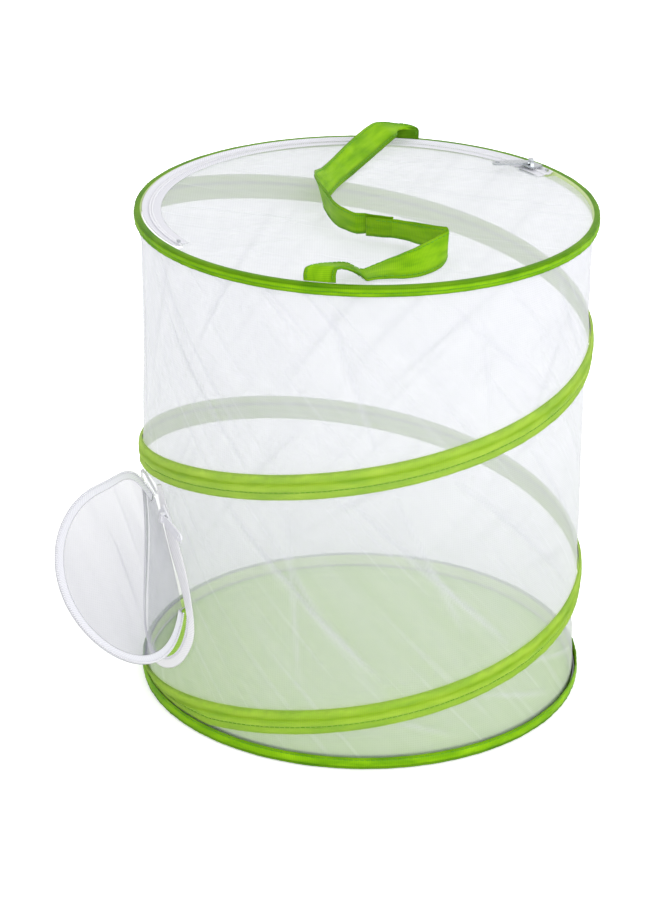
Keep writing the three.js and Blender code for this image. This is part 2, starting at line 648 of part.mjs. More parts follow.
// The strap's cross-section at a share of its run, pushed out by a lift so that one end can lap another
function strapRing(share, lift) {
  const low = strapLow.getPoint(share);
  const high = strapHigh.getPoint(share);
  const reach = high.clone().sub(low);
  const shrink = reach.clone().multiplyScalar((reach.length() - strapWidth) / (2 * reach.length()));
  low.add(shrink);
  high.sub(shrink);
  const next = Math.min(1, share + 1 / strapCurveSamples);
  const last = Math.max(0, share - 1 / strapCurveSamples);
  const ahead = strapLow.getPoint(next).add(strapHigh.getPoint(next));
  const behind = strapLow.getPoint(last).add(strapHigh.getPoint(last));
  const normal = ahead.sub(behind).cross(reach).normalize();
  const near = lift - strapThickness / 2;
  const far = lift + strapThickness / 2;
  const corners = [
    low.clone().addScaledVector(normal, near), high.clone().addScaledVector(normal, near),
    high.clone().addScaledVector(normal, far), low.clone().addScaledVector(normal, far),
  ];
  const floor = share > strapEndShare && share < 1 - strapEndShare ? strapFoot : cageHeight + clearance;
  const deficit = Math.max(0, floor - Math.min(...corners.map((corner) => corner.z)));
  for (const corner of corners) corner.z += deficit;
  return corners;
}

const strapOutline = [
  [0, 0], [strapWidth, 0], [strapWidth, strapThickness], [0, strapThickness],
].map(([x, y]) => new THREE.Vector2(x, y));

function addStrap(name, from, to, liftAt) {
  const rings = steps(strapSteps).map((share) => {
    const place = THREE.MathUtils.lerp(from, to, share);
    return strapRing(place, liftAt(place));
  });
  add(name, loftGeometry(rings, strapOutline), green);
}

// The back length laps over the front length's end on the side away from the lid's middle
const lapLift = strapThickness + clearance;
const lapStart = strapJoinShare - strapLapShare;
const lapSettle = strapLapShare / 2;

function backLift(place) {
  const settled = THREE.MathUtils.clamp((place - strapJoinShare) / lapSettle, 0, 1);
  return lapLift * (1 - settled);
}

addStrap("strap_front", 0, strapJoinShare - strapLapShare / 10, () => 0);
addStrap("strap_back", lapStart, 1, backLift);

export default cage;
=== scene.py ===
# %% [markdown]
# # A pop-up insect cage
#
# The cage is a cylinder of white polyester net. Spring-steel hoops at its top and bottom and a long wire
# spiral between them hold it open, and bright green woven tape covers the wire everywhere.
#
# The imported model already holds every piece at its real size, so this script only gives the looks. It
# loads the model as a fixed frame, and replaces the stiff stand-ins of the cloth pieces with net that
# creases, tape that puckers and thread that shows. All lengths are in metres in the model's own frame.

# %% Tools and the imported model
import json
import math

import bmesh
import bpy
import numpy as np
from mathutils import Matrix, Vector


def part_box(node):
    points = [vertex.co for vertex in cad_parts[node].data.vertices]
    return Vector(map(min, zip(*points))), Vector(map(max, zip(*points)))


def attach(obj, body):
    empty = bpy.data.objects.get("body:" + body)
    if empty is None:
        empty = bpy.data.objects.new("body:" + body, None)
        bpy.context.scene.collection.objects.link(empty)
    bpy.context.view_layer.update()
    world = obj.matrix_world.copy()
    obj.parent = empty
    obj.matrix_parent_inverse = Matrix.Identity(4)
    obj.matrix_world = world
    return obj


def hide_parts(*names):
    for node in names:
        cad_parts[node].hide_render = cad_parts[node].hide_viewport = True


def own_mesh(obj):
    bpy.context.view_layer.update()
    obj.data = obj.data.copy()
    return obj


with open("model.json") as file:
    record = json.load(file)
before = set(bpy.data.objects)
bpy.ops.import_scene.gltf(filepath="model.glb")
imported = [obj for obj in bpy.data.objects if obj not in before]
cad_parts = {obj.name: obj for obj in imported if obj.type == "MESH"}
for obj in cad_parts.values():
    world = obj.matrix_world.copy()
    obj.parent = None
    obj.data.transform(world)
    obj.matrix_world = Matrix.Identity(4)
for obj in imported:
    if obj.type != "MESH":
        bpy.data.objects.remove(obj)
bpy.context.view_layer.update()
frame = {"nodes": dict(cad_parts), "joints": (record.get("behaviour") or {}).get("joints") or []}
print("nodes in the packed model:", len(frame["nodes"]))

# %% [markdown]
# ## The camera
#
# A camera was fitted to the two ring outlines of the photograph. It stands in front, 24 degrees above the
# horizon, and leans by a little over half a degree. The lens follows from the focal length in pixels, on a
# 36 mm sensor along the photograph's longer side.

# %% Camera
PHOTO_HEIGHT_PX = 900
FOCAL_PX = 2726.56
SENSOR_MM = 36
CAMERA_PLACE = Vector((-0.02243, -1.69464, 0.91488))
CAMERA_TARGET = Vector((-0.02243, 0, 0.1607))
CAMERA_ROLL = math.radians(0.628)

camera_data = bpy.data.cameras.new("camera")
camera_data.sensor_width = SENSOR_MM
camera_data.lens = FOCAL_PX / PHOTO_HEIGHT_PX * SENSOR_MM
camera = bpy.data.objects.new("camera", camera_data)
facing = (CAMERA_TARGET - CAMERA_PLACE).to_track_quat("-Z", "Y").to_matrix().to_4x4()
camera.matrix_world = Matrix.Translation(CAMERA_PLACE) @ facing @ Matrix.Rotation(CAMERA_ROLL, 4, "Z")
bpy.context.scene.collection.objects.link(camera)
bpy.context.scene.camera = camera
bpy.context.scene.view_settings.view_transform = "Standard"
print("lens in mm:", round(camera_data.lens, 2))

# %% [markdown]
# ## Sizes
#
# The ring tapes give the cage's radius and height, so those two come from the frame. The rest are the
# widths of the real tapes and nets, in metres.

# %% Sizes of the cage
MM = 0.001
ring_low, ring_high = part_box("top_binding")
foot_low, foot_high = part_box("base_binding")
RADIUS = ring_high.x
HEIGHT = ring_high.z
CLEARANCE = 0.3 * MM
BINDING_WIDTH = 5 * MM
TOP_BINDING_HEIGHT = ring_high.z - ring_low.z
BASE_BINDING_HEIGHT = foot_high.z - foot_low.z
TAPE_THICKNESS = 0.8 * MM
NET_THICKNESS = 0.6 * MM
CASING_HEIGHT = 18 * MM
BINDING_INNER = RADIUS - BINDING_WIDTH
NET_OUTER = BINDING_INNER + TAPE_THICKNESS + CLEARANCE + NET_THICKNESS
NET_MIDDLE = NET_OUTER - NET_THICKNESS / 2
PANEL_RADIUS = BINDING_INNER - CLEARANCE
print("radius and height in mm:", round(RADIUS / MM, 1), round(HEIGHT / MM, 1))

# %% [markdown]
# ## Helpers for surfaces
#
# Nearly every piece here is a grid of points: rows along the piece and columns across it. One helper turns
# such a grid into a mesh with a UV map in metres, so that weaves keep their real scale. A closed grid joins
# its last row or column to the first. A second helper draws a smooth curve through a few points.

# %% Grid to mesh
def polar(radius, azimuth, height):
    """Points at a radius, an azimuth in degrees about Z, and a height."""
    angle = np.radians(azimuth)
    return np.stack(np.broadcast_arrays(radius * np.cos(angle), radius * np.sin(angle), height), -1)


def mesh_object(name, points, faces, material, loop_uv=None, merge=False, values=None):
    """A smooth-shaded object from points, equal-sized faces and the UV place of each face corner. Points in
    one place, as at a pole or a pinched end, can be merged. values gives each point a named number that a
    material reads."""
    mesh = bpy.data.meshes.new(name)
    mesh.from_pydata(points.tolist(), [], faces.tolist())
    for label, numbers in (values or {}).items():
        mesh.attributes.new(label, "FLOAT", "POINT").data.foreach_set("value", numbers.ravel())
    if loop_uv is not None:
        mesh.uv_layers.new(name="metres").data.foreach_set("uv", loop_uv.ravel())
    if merge:
        work = bmesh.new()
        work.from_mesh(mesh)
        bmesh.ops.remove_doubles(work, verts=work.verts, dist=1e-6)
        work.to_mesh(mesh)
        work.free()
    mesh.shade_smooth()
    mesh.materials.append(material)
    piece = bpy.data.objects.new(name, mesh)
    bpy.context.scene.collection.objects.link(piece)
    return piece


def grid_faces(rows, columns, close_rows=False, close_columns=False):
    """Row and column of the four corners of each face of a grid. They run on past a closed grid's end."""
    row, column = np.meshgrid(np.arange(rows - (not close_rows)), np.arange(columns - (not close_columns)),
                              indexing="ij")
    corner_rows = np.stack([row, row + 1, row + 1, row], -1).reshape(-1, 4)
    corner_columns = np.stack([column, column, column + 1, column + 1], -1).reshape(-1, 4)
    return corner_rows, corner_columns


def signed_volume(points, faces):
    """A sixth of the sum, over the faces, of the first corner dotted with the face's doubled area vector."""
    a, b, c, d = (points[faces[:, k]] for k in range(4))
    return np.sum(a * np.cross(c - a, d - b)) / 6


def skin(name, points, u, v, material, close_rows=False, close_columns=False, merge=False, values=None):
    """A closed mesh over a grid of points, with its faces outwards. u gives each row's place along the piece
    and v each column's across it, with one value more where the grid closes."""
    rows, columns = points.shape[:2]
    corner_rows, corner_columns = grid_faces(rows, columns, close_rows, close_columns)
    faces = corner_rows % rows * columns + corner_columns % columns
    loop_uv = np.stack([u[corner_rows], v[corner_columns]], -1)
    flat = points.reshape(-1, 3)
    if signed_volume(flat, faces) < 0:
        faces, loop_uv = faces[:, ::-1], loop_uv[:, ::-1]
    return mesh_object(name, flat, faces, material, loop_uv, merge, values)


def through(points, shares):
    """A centripetal Catmull-Rom curve: a cubic between each two points, whose slopes come from the chords
    around them, each weighted by the square root of its length."""
    points = np.asarray(points, float)
    padded = np.concatenate([[2 * points[0] - points[1]], points, [2 * points[-1] - points[-2]]])
    place = np.clip(shares, 0, 1) * (len(points) - 1)
    start = np.minimum(place.astype(int), len(points) - 2)
    t = (place - start)[:, None]
    p0, p1, p2, p3 = (padded[start + k] for k in range(4))
    d0, d1, d2 = (np.sqrt(np.linalg.norm(q - p, axis=1, keepdims=True))
                  for p, q in ((p0, p1), (p1, p2), (p2, p3)))
    slope1 = ((p1 - p0) / d0 - (p2 - p0) / (d0 + d1) + (p2 - p1) / d1) * d1
    slope2 = ((p2 - p1) / d1 - (p3 - p1) / (d1 + d2) + (p3 - p2) / d2) * d1
    return ((2 * t**3 - 3 * t**2 + 1) * p1 + (t**3 - 2 * t**2 + t) * slope1
            + (3 * t**2 - 2 * t**3) * p2 + (t**3 - t**2) * slope2)


def distances(line):
    """Length along a line of points, from its first point."""
    return np.concatenate([[0], np.cumsum(np.linalg.norm(np.diff(line, axis=0), axis=1))])


def bell(value, middle, width):
    """1 at the middle, falling off on both sides as a Gaussian of the given width."""
    return np.exp(-((value - middle) / width) ** 2)


def smooth_step(value, low, high):
    """0 below low, 1 above high, and an S-shaped cubic between them. With the two in the other order, it
    falls instead of rising."""
    t = np.clip((value - low) / (high - low), 0, 1)
    return t * t * (3 - 2 * t)


# %% [markdown]
# ## Materials
#
# The photograph shows green tape, white net, white tape, white nylon and bright metal. Each finish starts
# from a Principled BSDF. Cloth takes its colour and bump from the piece's UV map, which is in metres, so a
# thread spacing in millimetres is simply a scale. Nylon, metal and thread vary with Object coordinates.

# %% Helpers for materials
# A wave texture draws this many bands to a metre for each unit of its scale
BANDS_PER_SCALE = 3.18


def linear(hex_colour):
    """An sRGB hex colour as linear red, green, blue and alpha."""
    srgb = np.array([int(hex_colour[i:i + 2], 16) / 255 for i in (1, 3, 5)])
    return (*np.where(srgb <= 0.04045, srgb / 12.92, ((srgb + 0.055) / 1.055) ** 2.4).tolist(), 1)


def add_node(material, kind, settings=None, links=None):
    """Adds one shader node, sets its properties or sockets by name, and links its inputs."""
    node = material.node_tree.nodes.new(kind)
    for name, value in (settings or {}).items():
        if isinstance(name, str) and hasattr(node, name):
            setattr(node, name, value)
        else:
            node.inputs[name].default_value = value
    for name, source in (links or {}).items():
        material.node_tree.links.new(source, node.inputs[name])
    return node


def new_material(name):
    """A material with a Principled BSDF, and that shader."""
    material = bpy.data.materials.new(name)
    material.use_nodes = True
    return material, material.node_tree.nodes["Principled BSDF"]


# %% [markdown]
# Green polyester tape. It is woven from bright filament yarn, so it has fine ribs across its length, a soft
# sheen, and slightly lighter and darker stretches where the dye and the tension vary. The ribs are drawn
# 1.2 mm apart, about twice as coarse as the real ones, so that they show in the render.

# %% Green polyester tape
RIB_SPACING = 1.2 * MM
BLOTCH_LENGTH = 25 * MM
BLOTCH_WIDTH = 6.25 * MM
RIB_CONTRAST = 0.16
# SHADE_GREEN is the colour of the painted shade, and PALE_GREEN that of the painted light through the weave
SHADE_GREEN = "#2E5C02"
PALE_GREEN = "#EEFAC0"
THROUGH_GREEN = "#F2FCC4"
SHEEN_GREEN = "#C8F060"
PALE_PASSING = 0.5


def green_tape(name, main, pale, deep, rib_spacing=RIB_SPACING, passing=0.0):
    """Woven tape: ribs across its length, blotches of three greens, and a soft green sheen. Two values of a
    piece change its colour. The shade value is painted shade: it darkens the colour at edges, seams,
    puckers, bends, laps and ends, where less light falls. "pale" is painted light: it lightens the side that
    faces the net, for light that comes through the weave from outside. passing is the share of light that
    the outer side lets through, and the pale side lets half of the light more through."""
    material, shader = new_material(name)
    place = add_node(material, "ShaderNodeTexCoord")
    ribs = add_node(material, "ShaderNodeTexWave",
                    {"bands_direction": "X", "Scale": 1 / rib_spacing / BANDS_PER_SCALE, "Distortion": 0.4,
                     "Detail Scale": 1.5}, {"Vector": place.outputs["UV"]})
    stretch = add_node(material, "ShaderNodeMapping", {"Scale": (1 / BLOTCH_LENGTH, 1 / BLOTCH_WIDTH, 1)},
                       {"Vector": place.outputs["UV"]})
    blotch = add_node(material, "ShaderNodeTexNoise", {"Scale": 1, "Detail": 3},
                      {"Vector": stretch.outputs["Vector"]})
    dye = add_node(material, "ShaderNodeValToRGB", links={"Fac": blotch.outputs["Fac"]})
    ramp = dye.color_ramp.elements
    ramp[0].position, ramp[0].color = 0.3, linear(deep)
    ramp[1].position, ramp[1].color = 0.72, linear(pale)
    middle = ramp.new(0.5)
    middle.color = linear(main)
    ribbed = add_node(material, "ShaderNodeMix",
                      {"data_type": "RGBA", "blend_type": "MULTIPLY", 0: RIB_CONTRAST},
                      {6: dye.outputs["Color"], 7: ribs.outputs["Color"]})
    # Painted shade: the piece's shade value mixes the colour towards a dark green
    painted_shade = add_node(material, "ShaderNodeAttribute", {"attribute_name": "painted_shade"})
    shaded = add_node(material, "ShaderNodeMix", {"data_type": "RGBA", 7: linear(SHADE_GREEN)},
                      {0: painted_shade.outputs["Fac"], 6: ribbed.outputs[2]})
    # Painted light: the piece's pale value mixes the colour towards a pale green, for light through the weave
    lit_through = add_node(material, "ShaderNodeAttribute", {"attribute_name": "pale"})
    colour = add_node(material, "ShaderNodeMix", {"data_type": "RGBA", 7: linear(PALE_GREEN)},
                      {0: lit_through.outputs["Fac"], 6: shaded.outputs[2]})
    bump = add_node(material, "ShaderNodeBump", {"Strength": 0.35, "Distance": 0.15 * MM},
                    {"Height": ribs.outputs["Fac"]})
    material.node_tree.links.new(colour.outputs[2], shader.inputs["Base Color"])
    material.node_tree.links.new(bump.outputs["Normal"], shader.inputs["Normal"])
    shader.inputs["Roughness"].default_value = 0.45
    shader.inputs["Specular IOR Level"].default_value = 0.1
    shader.inputs["Sheen Weight"].default_value = 0.05
    shader.inputs["Sheen Roughness"].default_value = 0.4
    shader.inputs["Sheen Tint"].default_value = linear(SHEEN_GREEN)
    if passing:
        through_weave = add_node(material, "ShaderNodeBsdfTranslucent", {"Color": linear(THROUGH_GREEN)})
        share = add_node(material, "ShaderNodeMath",
                         {"operation": "MULTIPLY_ADD", 1: PALE_PASSING, 2: passing},
                         {0: lit_through.outputs["Fac"]})
        cloth = add_node(material, "ShaderNodeMixShader", links={
            0: share.outputs["Value"], 1: shader.outputs["BSDF"], 2: through_weave.outputs["BSDF"]})
        surface = material.node_tree.nodes["Material Output"].inputs["Surface"]
        material.node_tree.links.new(cloth.outputs["Shader"], surface)
    return material


ring_tape = green_tape("green polyester binding tape", "#84BE06", "#9AD210", "#66A404")
casing_tape = green_tape("green polyester casing tape", "#A6DA10", "#C0EC34", "#88C606", passing=0.5)
strap_tape = green_tape("green polyester strap tape", "#84BC08", "#96CA14", "#6CA606")
floor_cloth = green_tape("green polyester taffeta", "#BAE462", "#C6EC72", "#ACDC54", 2 * MM)
print("green materials:", ring_tape.name, casing_tape.name, strap_tape.name, floor_cloth.name)

# %% [markdown]
# White polyester net. The holes of the real mesh are half a millimetre wide, too small to see from where
# the photograph was taken, and together they let over a third of the light through. So one layer is
# a thin white cloth that is 0.62 solid, and a faint square weave, drawn 1.6 mm apart, varies it. Its yarn is
# clear filament, so half of the light that meets it passes on and is spread. A crease lays more yarn in the
# line of sight: the wall's net carries a value, "crease", that makes it denser and whiter there, partly for
# that and partly as a painted highlight along the fold.

# %% White net
MESH_SPACING = 1.6 * MM
NET_COVER = 0.62
CREASE_COVER = 0.2
STREAK_COVER = 0.04
LINE_COVER = 0.09
GAP_COVER = -0.04
THREAD_COVER = 0.02
YARN_PASSING = 0.5
# Broad streaks are about 140 by 17 mm, and narrow lines 170 by 7 mm
STREAK_SCALE = (7, 60, 1)
LINE_SCALE = (6, 150, 1)


def white_net(name, slant, cover=NET_COVER, colour="#ECECF5"):
    """Fine net: a white sheet whose cover swings a little in two crossed waves. Long noise, turned by the
    slant in degrees, adds broad streaks and a few narrow lines, as cloth has that was stored folded."""
    material, shader = new_material(name)
    place = add_node(material, "ShaderNodeTexCoord")
    mesh_scale = 1 / MESH_SPACING / BANDS_PER_SCALE
    warp = add_node(material, "ShaderNodeTexWave", {"bands_direction": "X", "Scale": mesh_scale},
                    {"Vector": place.outputs["UV"]})
    weft = add_node(material, "ShaderNodeTexWave", {"bands_direction": "Y", "Scale": mesh_scale},
                    {"Vector": place.outputs["UV"]})
    threads = add_node(material, "ShaderNodeMath", {"operation": "MAXIMUM"},
                       {0: warp.outputs["Fac"], 1: weft.outputs["Fac"]})
    turned = add_node(material, "ShaderNodeMapping", {"Rotation": (0, 0, math.radians(slant))},
                      {"Vector": place.outputs["UV"]})
    broad = add_node(material, "ShaderNodeMapping", {"Scale": STREAK_SCALE},
                     {"Vector": turned.outputs["Vector"]})
    streaks = add_node(material, "ShaderNodeTexNoise", {"Scale": 1, "Detail": 2, "Distortion": 0.3},
                       {"Vector": broad.outputs["Vector"]})
    narrow = add_node(material, "ShaderNodeMapping", {"Scale": LINE_SCALE},
                      {"Vector": turned.outputs["Vector"]})
    lines = add_node(material, "ShaderNodeTexNoise", {"Scale": 1, "Detail": 1, "Distortion": 0.4},
                     {"Vector": narrow.outputs["Vector"]})
    line_cover = add_node(material, "ShaderNodeMapRange",
                          {"From Min": 0.6, "From Max": 0.72, "To Min": 0, "To Max": LINE_COVER},
                          {"Value": lines.outputs["Fac"]})
    thread_cover = add_node(material, "ShaderNodeMapRange",
                            {"To Min": cover + GAP_COVER, "To Max": cover + THREAD_COVER},
                            {"Value": threads.outputs["Value"]})
    streak_cover = add_node(material, "ShaderNodeMapRange",
                            {"From Min": 0.3, "From Max": 0.7, "To Min": -STREAK_COVER,
                             "To Max": STREAK_COVER}, {"Value": streaks.outputs["Fac"]})
    wrinkles = add_node(material, "ShaderNodeMath", {"operation": "ADD"},
                        {0: streak_cover.outputs["Result"], 1: line_cover.outputs["Result"]})
    # Denser, whiter net along the wall's creases: more yarn in view, and partly a painted highlight
    folded = add_node(material, "ShaderNodeAttribute", {"attribute_name": "crease"})
    crease_cover = add_node(material, "ShaderNodeMath", {"operation": "MULTIPLY_ADD", 1: CREASE_COVER},
                            {0: folded.outputs["Fac"], 2: wrinkles.outputs["Value"]})
    solid = add_node(material, "ShaderNodeMath", {"operation": "ADD", "use_clamp": True},
                     {0: thread_cover.outputs["Result"], 1: crease_cover.outputs["Value"]})
    shader.inputs["Base Color"].default_value = linear(colour)
    shader.inputs["Roughness"].default_value = 0.7
    shader.inputs["Sheen Weight"].default_value = 0.2
    passing = add_node(material, "ShaderNodeBsdfTranslucent", {"Color": linear(colour)})
    yarn = add_node(material, "ShaderNodeMixShader", {0: YARN_PASSING},
                    {1: shader.outputs["BSDF"], 2: passing.outputs["BSDF"]})
    holes = add_node(material, "ShaderNodeBsdfTransparent", {"Color": (1, 1, 1, 1)})
    relief = add_node(material, "ShaderNodeBump", {"Strength": 0.4, "Distance": 1.4 * MM},
                      {"Height": streaks.outputs["Fac"]})
    for cloth_shader in (shader, passing):
        material.node_tree.links.new(relief.outputs["Normal"], cloth_shader.inputs["Normal"])
    net = add_node(material, "ShaderNodeMixShader", links={
        0: solid.outputs["Value"], 1: holes.outputs["BSDF"], 2: yarn.outputs["Shader"]})
    surface = material.node_tree.nodes["Material Output"].inputs["Surface"]
    material.node_tree.links.new(net.outputs["Shader"], surface)
    return material


wall_mesh = white_net("white polyester net, wall", 50)
lid_mesh = white_net("white polyester net, lid", 20)
# The door's net is greyer: painted shade for the open flap, which is turned from the light
door_mesh = white_net("white polyester net, door", 60, 0.58, "#A9A9B6")
print("net lets through", 1 - NET_COVER)

# %% [markdown]
# White woven zip tape, moulded nylon teeth, nickel-plated zinc for the lid's slider, and drawn spring steel.
# The tape's slanting ribs are only just visible, and the metals keep the default IOR. The door's outer tapes
# face the light and get a whiter colour, painted light. The lid's lie flat, and the open flap's get a greyer
# one, painted shade.

# %% White tape, nylon, nickel and steel
SLANT_RIB_SPACING = 1 * MM


def white_tape(name, dark, light):
    """Woven zip tape: fine slanting ribs of two tones under a matte surface."""
    material, shader = new_material(name)
    place = add_node(material, "ShaderNodeTexCoord")
    ribs = add_node(material, "ShaderNodeTexWave",
                    {"bands_direction": "DIAGONAL", "Scale": 1 / SLANT_RIB_SPACING / BANDS_PER_SCALE,
                     "Distortion": 0.3}, {"Vector": place.outputs["UV"]})
    tint = add_node(material, "ShaderNodeMix", {"data_type": "RGBA", 6: linear(dark), 7: linear(light)},
                    {0: ribs.outputs["Fac"]})
    bump = add_node(material, "ShaderNodeBump", {"Strength": 0.3, "Distance": 0.1 * MM},
                    {"Height": ribs.outputs["Fac"]})
    material.node_tree.links.new(tint.outputs[2], shader.inputs["Base Color"])
    material.node_tree.links.new(bump.outputs["Normal"], shader.inputs["Normal"])
    shader.inputs["Roughness"].default_value = 0.75
    return material


def plain_finish(name, dark, light, roughness, metallic, grain):
    """A hard finish whose colour and roughness vary with a fine noise of the given grain in metres."""
    material, shader = new_material(name)
    place = add_node(material, "ShaderNodeTexCoord")
    noise = add_node(material, "ShaderNodeTexNoise", {"Scale": 1 / grain, "Detail": 2},
                     {"Vector": place.outputs["Object"]})
    tint = add_node(material, "ShaderNodeMix", {"data_type": "RGBA", 6: linear(dark), 7: linear(light)},
                    {0: noise.outputs["Fac"]})
    gloss = add_node(material, "ShaderNodeMapRange", {"To Min": roughness - 0.06, "To Max": roughness + 0.06},
                     {"Value": noise.outputs["Fac"]})
    material.node_tree.links.new(tint.outputs[2], shader.inputs["Base Color"])
    material.node_tree.links.new(gloss.outputs["Result"], shader.inputs["Roughness"])
    shader.inputs["Metallic"].default_value = metallic
    return material


zip_tape = white_tape("white woven zip tape", "#DADAE2", "#EAEAF0")
# Painted light gives the door's tapes a whiter colour, and painted shade the flap's tape a greyer one
door_tape = white_tape("white woven zip tape, door", "#F2F2F6", "#FFFFFF")
painted_shade_tape = white_tape("white woven zip tape, painted shade", "#DADAE2", "#E6E6EC")
zip_nylon = plain_finish("moulded nylon", "#EAEAF0", "#F6F6FA", 0.5, 0, 3 * MM)
nickel = plain_finish("nickel-plated zinc", "#B4B8BC", "#DCDFE2", 0.28, 1, 4 * MM)
spring_steel = plain_finish("drawn spring steel", "#7E8286", "#A2A6AA", 0.35, 1, 6 * MM)
green_thread = plain_finish("green polyester thread", "#559E0E", "#66B018", 0.6, 0, 3 * MM)
print("hard finishes:", zip_nylon.name, nickel.name, spring_steel.name)

# %% [markdown]
# ## Placing a piece
#
# Each finished piece goes on a body of the model and gets a material slot. Most take the place of a node.
# What belongs to the wall is sewn to both rings, so on the cage it flattens as the top ring comes down on the
# base. Each such piece gets its own copy of its mesh.


def finish_piece(piece, node, body, folds=False):
    """Puts a piece on its body, in the place of a node if one is given. folds is for what flattens with the
    wall: such a piece gets its own copy of its mesh."""
    if node:
        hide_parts(node)
    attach(piece, body)
    if folds:
        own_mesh(piece)
    return piece


# %% [markdown]
# ## Folded tape
#
# The rings and the spiral are the same idea: a tape folded over a wire, sewn to the net's edge. Seen end on,
# the tape is one line that bulges round the wire and is drawn in at the stitches. That line, given half a
# tape's thickness to each side, is carried round the cage. Small waves push it in and out, because the wire
# is stiffer than the cloth and the seam is never even.

# %% Folded tape
FULL_TURN = 360
RING_COLUMNS = 44
RING_ROWS = 600
RING_TAPE_THICKNESS = 0.7 * MM
RING_PUCKER_PITCHES = (31 * MM, 17 * MM, 9 * MM, 5.5 * MM)
RING_PUCKER_SIZE = 0.42 * MM
# Strengths of the painted shade at a ring's lip and in its groove, and of the painted light on its inner side
EDGE_SHADE = 0.4
GROOVE_SHADE = 0.55
INNER_PALENESS = 0.8
# A pucker's phase moves on by its drift times this for each metre across the tape
PUCKER_DRIFT = 60
# Which points of a ring's line are the ridge of the seam and the groove beside it
GROOVE_POINT = 6
RIDGE_POINT = 7


def tape_outline(line, thickness, count):
    """The outline of a tape seen end on, and the place across it of each point: the line through the given
    points, moved half the thickness to each side along its normal, out on one side and back on the other."""
    middle = through(line, np.linspace(0, 1, count))
    along = np.gradient(middle, axis=0)
    normal = np.stack([along[:, 1], -along[:, 0]], -1)
    normal *= thickness / 2 / np.linalg.norm(normal, axis=1, keepdims=True)
    across = distances(middle)
    return (np.concatenate([middle + normal, (middle - normal)[::-1]]),
            np.concatenate([across, across[::-1], across[:1]]))


def pinch_ends(points):
    """Closes both ends of a swept tape: there, each point goes midway to the one on the other side."""
    half = points.shape[1] // 2
    for end in (0, -1):
        closed = (points[end, :half] + points[end, ::-1][:half]) / 2
        points[end] = np.concatenate([closed, closed[::-1]])


def puckers(azimuth, across, pitches, size, seed):
    """Small waves in and out: for each pitch, a sine along the piece whose phase drifts across it."""
    generator = np.random.default_rng(seed)
    total = np.zeros(np.broadcast(azimuth, across).shape)
    for pitch in pitches:
        phase, drift = generator.uniform(0, 2 * math.pi, 2)
        swell = 0.6 + 0.4 * np.sin(np.radians(azimuth) * generator.integers(2, 9) + phase)
        waves = round(2 * math.pi * RADIUS / pitch)
        total = total + swell * np.sin(np.radians(azimuth) * waves + phase + across * drift * PUCKER_DRIFT)
    return total * size / len(pitches)


def ring_binding(name, line, seed):
    """A tape outline, as radius and height, turned about Z with puckers that fade on its inner side. It has
    painted shade at the lip, in the groove and on the closed side, and painted light where it faces the net."""
    outline, across = tape_outline(np.array(line) * MM, RING_TAPE_THICKNESS, RING_COLUMNS)
    azimuth = np.linspace(0, FULL_TURN, RING_ROWS, endpoint=False)
    outward = smooth_step(outline[:, 0], NET_MIDDLE, RADIUS - 0.6 * MM)
    push = puckers(azimuth[:, None], across[None, :-1], RING_PUCKER_PITCHES, RING_PUCKER_SIZE, seed)
    lip, groove, ridge = (line[k][1] * MM for k in (0, GROOVE_POINT, RIDGE_POINT))
    # Painted light on the side facing the net; painted shade at the lip, in the groove and on the closed side
    inner = 1 - smooth_step(outline[:, 0], BINDING_INNER + 0.5 * MM, BINDING_INNER + 0.8 * MM)
    height = outline[:, 1]
    dark = EDGE_SHADE * bell(height, lip, 1.1 * MM) + GROOVE_SHADE * bell(height, groove, 0.6 * MM)
    closed = smooth_step(np.abs(height - lip), abs(groove - lip), abs(ridge - lip))
    dark = np.maximum(dark * (1 - inner), GROOVE_SHADE * closed)
    values = {"painted_shade": np.broadcast_to(dark, push.shape),
              "pale": np.broadcast_to(inner, push.shape) * INNER_PALENESS}
    radius = np.minimum(outline[None, :, 0] + push * outward, RADIUS)
    points = polar(radius, azimuth[:, None], outline[None, :, 1])
    u = np.radians(np.append(azimuth, FULL_TURN)) * RADIUS
    return skin(name, points, u, across, ring_tape, close_rows=True, close_columns=True, values=values)


# %% [markdown]
# The top ring's tape has a narrow top face, a ridge where the lid and the wall are seamed together, and then
# the deeper face that hangs over the wall. The base ring is the same, turned over and a little deeper.

# %% Ring tapes
# How far each ring's seam is from its tape's open edge, in mm
TOP_SEAM_MM = 2.6
BASE_SEAM_MM = 2.2


def ring_line(edge, lip, stitch):
    """The tape's end-on line in mm, as (radius, height), from the outer lip over the wire to the inner lip.
    edge is the height of the closed side, lip that of the open side, and stitch the seam's distance from the
    lip."""
    outer = RADIUS / MM
    inner = BINDING_INNER / MM
    up = math.copysign(1, edge - lip)
    return [
        (outer - 1.0, lip + up * 0.35), (outer - 0.75, lip + up * (stitch - 1.2)),
        (outer - 1.35, lip + up * stitch), (outer - 0.75, lip + up * (stitch + 1.2)),
        (outer - 0.45, edge - up * 4.2), (outer - 0.5, edge - up * 2.6), (outer - 1.15, edge - up * 1.7),
        (outer - 0.75, edge - up * 0.8), (outer - 1.5, edge - up * 0.4), (outer - 2.5, edge - up * 0.38),
        (inner + 1.2, edge - up * 0.42), (inner + 0.45, edge - up * 1.2), (inner + 0.4, edge - up * 3),
        (inner + 0.4, lip + up * 2), (inner + 0.4, lip + up * 0.35),
    ]


top_line = ring_line(HEIGHT / MM, (HEIGHT - TOP_BINDING_HEIGHT) / MM, TOP_SEAM_MM)
top_tape = ring_binding("top_ring_tape", top_line, 3)
base_tape = ring_binding("base_ring_tape", ring_line(0, BASE_BINDING_HEIGHT / MM, BASE_SEAM_MM), 5)
finish_piece(top_tape, "top_binding", "top_ring")
finish_piece(base_tape, "base_binding", "base")
print("ring tapes:", len(top_tape.data.polygons), "faces each")

